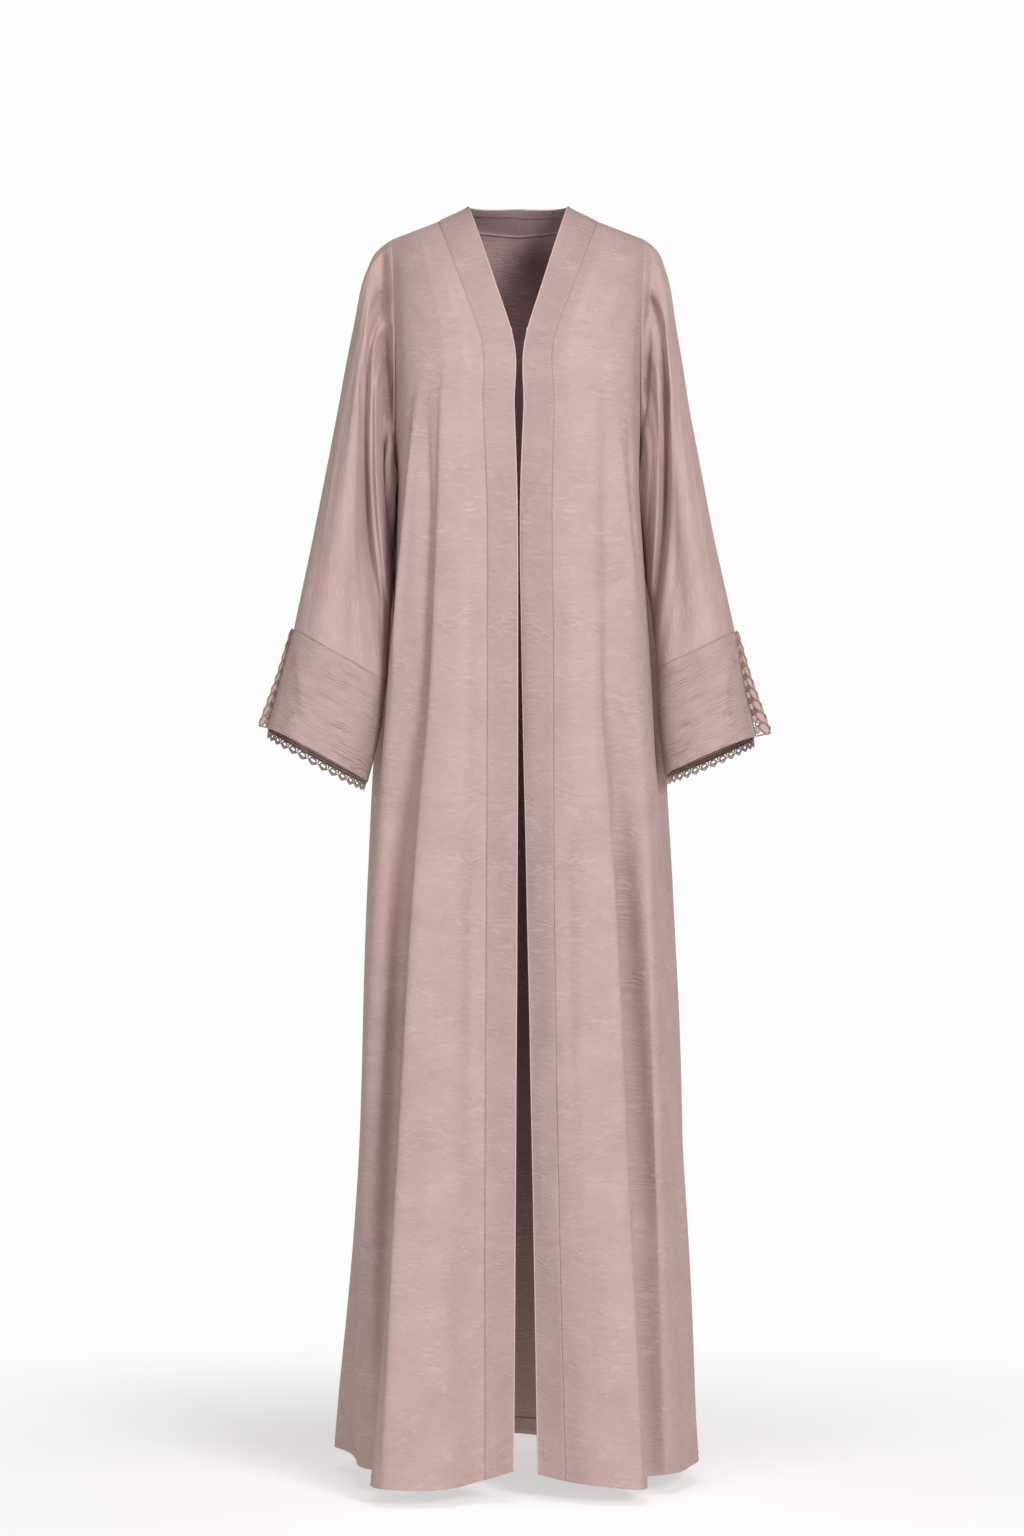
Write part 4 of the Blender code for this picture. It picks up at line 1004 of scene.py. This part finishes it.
def laid(strip, along, down, proud=0.0):
    """Points of a lace strip: shares along it from 0 to 1, distances down from its sewn edge and heights off
    its face. A strip is shares, points of the sewn edge, ways down and ways out at those shares, and its
    widths at its start, middle and end."""
    edge, way_down, way_out = read_rows(along, *strip[:4])
    proud = np.asarray(proud) + 0 * along
    return edge + way_down * np.asarray(down)[..., None] + way_out * proud[..., None]


def corded(paths, normals, radius, closed=False, kind=0):
    """Five-sided cords round paths, (cords, steps, 5, 3). Open ones taper away at both ends."""
    if closed:
        run = unit(np.roll(paths, -1, axis=1) - np.roll(paths, 1, axis=1))
    else:
        run = unit(np.gradient(paths, axis=1))
    beside = unit(np.cross(run, normals))
    proud = np.cross(beside, run)
    thick = np.full(paths.shape[1], radius)
    if not closed:
        thick[[0, -1]] = radius / 50
    turn = np.radians(np.arange(0, 360, 72))[:, None]
    round_it = beside[:, :, None] * np.cos(turn) + proud[:, :, None] * np.sin(turn)
    return paths[:, :, None] + thick[:, None, None] * round_it, closed, kind


def net_ground(strip, top, bottom, reach):
    """The close net behind the leaves, (1, rows, 4, 3): a thin ribbon from the sewn edge out to a share of
    the width, between two shares of the way along. Both ends draw together to a point."""
    rows = np.array([top, *np.linspace(top + 0.001, bottom - 0.001, 60), bottom])
    across = reach * np.array([0.0, 0.0, 1.0, 1.0])
    rises = np.array([-0.0011, -0.0007, -0.0007, -0.0011])
    ribbon = laid(strip, rows[:, None] + 0 * across, across * width_at(strip, rows)[:, None], rises)
    ribbon[[0, -1]] = ribbon[[0, -1]].mean(axis=1, keepdims=True)
    return ribbon[None], False, 0


def leaf_pads(strip, along, down, half_along, half_down, lean):
    """Filled leaves, (leaves, rings, steps, 3): rings that grow from the middle of the back to the outline
    and shrink again to the middle of the face, as a thin lens."""
    turn = np.radians(np.arange(0, 360, 30))
    rings = np.array([0.0, 0.6, 1.0, 0.7, 0.35, 0.0])[:, None]
    rises = np.array([-0.0004, -0.0003, 0.0, 0.0005, 0.0008, 0.0009])
    x = half_along * rings * np.cos(turn)
    y = half_down * rings * np.sin(turn) * (1 - 0.3 * np.cos(turn)) + lean * rings * np.cos(turn)
    shares = along[:, None, None] + x
    return laid(strip, shares, (down + y) * width_at(strip, shares), (rises[:, None] + 0 * x)[None]), False, 1


def loops(strip, along, down, half_along, half_down, lean, steps=14):
    """Closed outlines of leaves or eyelets, (loops, steps, 3), about places along and down the strip: ovals
    with the given half sizes. A leaf leans and is narrower at its far end."""
    turn = np.linspace(0, 2 * math.pi, steps, endpoint=False)
    shares = along[:, None] + half_along * np.cos(turn)
    y = half_down * np.sin(turn) * (1 - 0.3 * np.cos(turn) * (lean != 0)) + lean * np.cos(turn)
    return laid(strip, shares, (down + y) * width_at(strip, shares))


def lace_mesh(name, parts):
    """One smooth mesh from blocks of grids, (grids, rows, steps round, 3), each closed round its last axis,
    and along its rows where the block says so. Blocks are of cord or of filling."""
    points, corners, kinds, first = [], [], [], 0
    for block, closed, kind in parts:
        count, rows, steps = block.shape[:3]
        index = first + np.arange(count * rows * steps).reshape(count, rows, steps)
        if closed:
            index = np.concatenate([index, index[:, :1]], axis=1)
        index = np.concatenate([index, index[:, :, :1]], axis=2)
        quads = index[:, :-1, :-1], index[:, 1:, :-1], index[:, 1:, 1:], index[:, :-1, 1:]
        points.append(block.reshape(-1, 3))
        corners.append(np.stack(quads, -1).reshape(-1, 4))
        kinds.append(np.full(len(corners[-1]), kind, np.int32))
        first += count * rows * steps
    points, corners = np.concatenate(points), np.concatenate(corners)
    made = grid_mesh(name, points, corners, points[corners.reshape(-1)][:, ::2], lace_cord_cotton)
    made.data.materials.append(lace_leaf_cotton)
    made.data.polygons.foreach_set("material_index", np.concatenate(kinds))
    welded = bmesh.new()
    welded.from_mesh(made.data)
    bmesh.ops.remove_doubles(welded, verts=welded.verts, dist=LACE_CORD / 20)
    bmesh.ops.recalc_face_normals(welded, faces=welded.faces)
    welded.to_mesh(made.data)
    welded.free()
    return made


def side_lace(side, shares):
    """The parts of the wedge: a cord along each edge, leaves and knots in outline, stems between them,
    filled leaves, and the net behind. Places and sizes are shares of its length, or of a repeat, and of its
    width."""
    edge = cuff_surface(side, np.array([0.0, 180.0]), shares)[0]
    out = np.tile(unit(np.array([side * 0.97, 0.10, 0.22])), (len(shares), 1))
    strip = shares, edge, out, np.tile(FORWARD, (len(shares), 1)), SIDE_LACE_WIDTH[side]
    pitch = 1 / SIDE_LACE_REPEATS
    leaf = (np.arange(SIDE_LACE_REPEATS) + 0.5) * pitch
    knot = np.arange(1, SIDE_LACE_REPEATS) * pitch
    run = np.linspace(0, 1, 100)
    scallop = 0.92 - 0.16 * np.cos(run * SIDE_LACE_REPEATS * math.pi) ** 2
    stem = np.linspace(0, 1, 7)
    stems = knot[:, None] + pitch * (0.10 + 0.55 * stem)
    wide = width_at(strip, stems)
    upper = laid(strip, stems - 0.6 * pitch, (0.14 + 0.10 * np.sin(3.1 * stem)) * wide)
    filled = leaf[width_at(strip, leaf) > FILLED_LEAF_WIDTH]
    low = knot[width_at(strip, knot) > FILLED_LEAF_WIDTH]
    return [
        corded(laid(strip, run, 0.05 * width_at(strip, run))[None], FORWARD, LACE_CORD),
        corded(laid(strip, run, scallop * width_at(strip, run))[None], FORWARD, LACE_CORD),
        corded(loops(strip, leaf, 0.60, 0.52 * pitch, 0.24, 0.10), FORWARD, LACE_CORD, closed=True),
        corded(loops(strip, knot, 0.30, 0.16 * pitch, 0.13, 0.0, 10), FORWARD, LACE_CORD, closed=True),
        corded(laid(strip, stems, (0.30 + 0.22 * stem**2) * wide), FORWARD, LACE_SLIM_CORD),
        corded(upper, FORWARD, LACE_SLIM_CORD),
        corded(laid(strip, np.full(7, 0.995), stem * 0.95 * width_at(strip, 1.0))[None], FORWARD, LACE_CORD),
        leaf_pads(strip, filled, 0.62, 0.52 * pitch, 0.26, 0.10),
        leaf_pads(strip, low - 0.06 * pitch, 0.80, 0.36 * pitch, 0.14, 0.0),
        leaf_pads(strip, filled, 0.20, 0.34 * pitch, 0.17, 0.0),
        net_ground(strip, NET_TOP, NET_BOTTOM, NET_REACH),
    ]


def hem_lace(side, shares):
    """The parts of the hem's strip: two cords along the sewn edge, bars between them, an arch to each
    repeat and an eyelet in each arch. Distances down are in metres, and eyelets in shares of a repeat and
    the drop."""
    degrees = HEM_LACE_START - HEM_LACE_ROUND * shares
    hem = cuff_surface(side, np.array([*degrees, *(degrees - 180)]), np.array([0.9, 1.0]))[: len(shares)]
    way = unit(hem[:, 1] - hem[:, 0])
    away = unit(np.cross(np.gradient(hem[:, 1], axis=0), way)) * -side
    strip = shares, hem[:, 1] - away * HEM_LACE_INSIDE, way, away, (HEM_LACE_DROP,) * 3
    pitch = 1 / HEM_LACE_REPEATS
    middle = (np.arange(HEM_LACE_REPEATS) + 0.5) * pitch
    arch = np.linspace(-0.5, 0.5, 13)
    arches = middle[:, None] + arch * pitch
    peak = 0.52 + 0.48 * (1 - abs(2 * arch)) ** 0.8
    bar = np.linspace(0, 1, 7)
    bars = (np.arange(HEM_LACE_REPEATS + 1) * pitch)[:, None] + 0 * bar
    run = np.linspace(0, 1, 120)[None]
    eyelets = loops(strip, middle, 0.50, 0.30 * pitch, 0.24, 0.0, 12)
    faces = [read_rows(at, shares, away)[0] for at in (run, arches, bars, middle[:, None] + np.zeros(12))]
    return [
        *[corded(laid(strip, run, 0 * run + down), faces[0], LACE_CORD) for down in HEM_LACE_CORDS],
        corded(laid(strip, arches, peak * HEM_LACE_DROP + 0 * arches), faces[1], LACE_CORD, kind=1),
        corded(laid(strip, bars, HEM_LACE_CORDS[0] + HEM_LACE_BAR * bar + 0 * bars), faces[2], LACE_CORD),
        corded(eyelets, faces[3], LACE_CORD * 1.1, closed=True, kind=1),
    ]


for side, word in SIDES:
    shares = np.linspace(0, 1, LACE_STATIONS)
    wedge = worn(lace_mesh(f"lace_wedge_{word}", side_lace(side, shares)), "lace", f"lace_side_{word}")
    strip = worn(lace_mesh(f"lace_strip_{word}", hem_lace(side, shares)), "lace", f"lace_hem_{word}")

# ---------------------------------------------------------------------------------------------------------
# The sewing that shows
#
# A narrow roll along the free edge of both bands and round the neck, a row of stitches round the hem, and a
# thread bar on each front edge at the bust. All are of the crepe's own dusty rose thread.
# ---------------------------------------------------------------------------------------------------------
EDGE_ROLL = 0.0009          # radius
STITCH_LENGTH = 0.0026
STITCH_PITCH = 0.0036
STITCH_RADIUS = 0.00035
THREAD_BAR_Z = -0.161
THREAD_BAR_LENGTH = 0.006
THREAD_BAR_OUT = 0.0012     # how far it stands off the edge
THREAD_BAR_REACH = 0.003    # beyond its ends, how much of the edge gives it its place and direction

pale_thread = lace_thread("dusty rose thread", (0.60, 0.455, 0.430), 0.70)


def thread_mesh(name, block):
    """Cords of thread as one mesh, riding on the cloak."""
    made = lace_mesh(name, [block])
    made.data.materials.clear()
    made.data.materials.append(pale_thread)
    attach(made, "root")
    return made


def stitches(path, normals, standing):
    """A row of stitches along a path, (stitches, 4 steps, 3), and the normals there. Each comes up out of
    the cloth, runs level at the height given and goes down again."""
    run = run_along(path[None])
    at = np.arange(STITCH_PITCH, run[-1] - STITCH_PITCH, STITCH_PITCH)[:, None]
    at = at + np.linspace(0, STITCH_LENGTH, 4)
    lift = np.array([0.0, standing, standing, 0.0])[:, None]
    on_path, out = read_rows(at, run, path, normals)
    return on_path + out * lift, out


for side, word in SIDES:
    edge, normals, out = front_edges[side]
    path = edge + out * EDGE_ROLL * 0.4 - normals * FOLDED_EDGE * 0.6
    thread_mesh(f"edge_roll_{word}", corded(path[None], normals[None], EDGE_ROLL))
    rows = np.flatnonzero(abs(edge[:, 2] - THREAD_BAR_Z) < THREAD_BAR_LENGTH / 2 + THREAD_BAR_REACH)
    middle, up = edge[rows].mean(axis=0), unit(edge[rows[-1]] - edge[rows[0]])
    bar = middle + up * np.linspace(-0.5, 0.5, 6)[:, None] * THREAD_BAR_LENGTH + out[rows[0]] * THREAD_BAR_OUT
    thread_mesh(f"thread_bar_{word}", corded(bar[None], normals[rows[:1]][None], STITCH_RADIUS * 2))

rows = [stitches(path, normals, STITCH_RADIUS) for path, normals in hem_lines]
row_paths, row_normals = (np.concatenate(part) for part in zip(*rows))
thread_mesh("hem_stitches", corded(row_paths, row_normals, STITCH_RADIUS))

# ---------------------------------------------------------------------------------------------------------
# The studio: a white floor, soft light and the camera
#
# The floor is matt white near the cloak and melts into the white surround. One wide soft light stands in
# front to the right (+X), with a weaker one to the left and another overhead.
# ---------------------------------------------------------------------------------------------------------
FLOOR_Z = -1.562
FLOOR_RADIUS = 14.0
FLOOR_FADE = (0.4, 1.6)     # distances over which it melts into the surround
FLOOR_GLOW = 0.55
SURROUND = 0.98             # the white that is seen behind the cloak
AMBIENT = 0.17              # the light that comes from all round
FOCAL_LENGTH, FRAME_HEIGHT = 4888, 1536     # of the camera, in pixels
SENSOR_HEIGHT = 36.0

floor_white, tree, matt = new_material("studio floor")
set_inputs(matt, {
    "Base Color": (0.62, 0.62, 0.62, 1),
    "Roughness": 1.0,
    "Specular IOR Level": 0.0,
    "Emission Color": (1, 1, 1, 1),
    "Emission Strength": FLOOR_GLOW,
})
place = add_node(tree, "TexCoord").outputs["Object"]
level = add_node(tree, "Mapping", {"Vector": place, "Scale": (1, 1, 0)}).outputs["Vector"]
distance = add_node(tree, "VectorMath", {0: level}, operation="LENGTH").outputs["Value"]
fade = {"Value": distance, "From Min": FLOOR_FADE[0], "From Max": FLOOR_FADE[1]}
far = add_node(tree, "MapRange", fade, interpolation_type="SMOOTHSTEP").outputs["Result"]
glow = add_node(tree, "Emission", {"Strength": SURROUND}).outputs["Emission"]
blend = add_node(tree, "MixShader", {"Fac": far, 1: matt.outputs["BSDF"], 2: glow}).outputs["Shader"]
set_inputs(tree.nodes["Material Output"], {"Surface": blend})

turns = np.radians(np.arange(0, 361, 5))
turn, out = np.meshgrid(turns, np.geomspace(0.2, FLOOR_RADIUS, 24), indexing="ij")
floor_points = np.stack([out * np.cos(turn), out * np.sin(turn), np.full_like(out, FLOOR_Z)], axis=-1)
floor_points[:, 0, :2] = 0
floor_points[-1] = floor_points[0]
floor = cloth_mesh("studio_floor", floor_points, floor_points[..., :2], floor_white, -1, closed=True)

world = bpy.data.worlds.new("studio")
world.use_nodes = True
bpy.context.scene.world = world
tree = world.node_tree
white = tree.nodes["Background"]
set_inputs(white, {"Color": (1, 1, 1, 1), "Strength": SURROUND})
ambient = add_node(tree, "Background", {"Color": (1.0, 0.85, 0.80, 1), "Strength": AMBIENT})
seen = add_node(tree, "LightPath").outputs["Is Camera Ray"]
either = add_node(tree, "MixShader", {"Fac": seen, 1: ambient.outputs[0], 2: white.outputs[0]})
set_inputs(tree.nodes["World Output"], {"Surface": either.outputs[0]})


def soft_light(name, place, aim, width, height, power):
    """A soft rectangular light at a place, turned to face its aim."""
    light = bpy.data.lights.new(name, "AREA")
    light.shape, light.size, light.size_y, light.energy = "RECTANGLE", width, height, power
    made = bpy.data.objects.new(name, light)
    made.location = place
    made.rotation_euler = (Vector(aim) - Vector(place)).to_track_quat("-Z", "Y").to_euler()
    bpy.context.scene.collection.objects.link(made)


soft_light("key", (2.7, -6.4, 1.5), (0, 0, -0.75), 1.7, 1.7, 318)
soft_light("fill", (-3.4, -5.8, 0.5), (0, 0, -0.8), 2.0, 2.0, 90)
soft_light("top", (0.3, -1.6, 3.4), (0, 0, -0.5), 2.0, 1.4, 52)

camera_data = bpy.data.cameras.new("camera")
camera_data.sensor_fit = "VERTICAL"
camera_data.sensor_height = SENSOR_HEIGHT
camera_data.lens = SENSOR_HEIGHT * FOCAL_LENGTH / FRAME_HEIGHT
camera_data.clip_end = 100
camera = bpy.data.objects.new("camera", camera_data)
camera.location = (-0.00737, -6.0, -0.689)
camera.rotation_euler = (math.radians(90), 0, 0)
bpy.context.scene.collection.objects.link(camera)
bpy.context.scene.camera = camera
bpy.context.scene.view_settings.view_transform = "Standard"

bpy.context.view_layer.update()
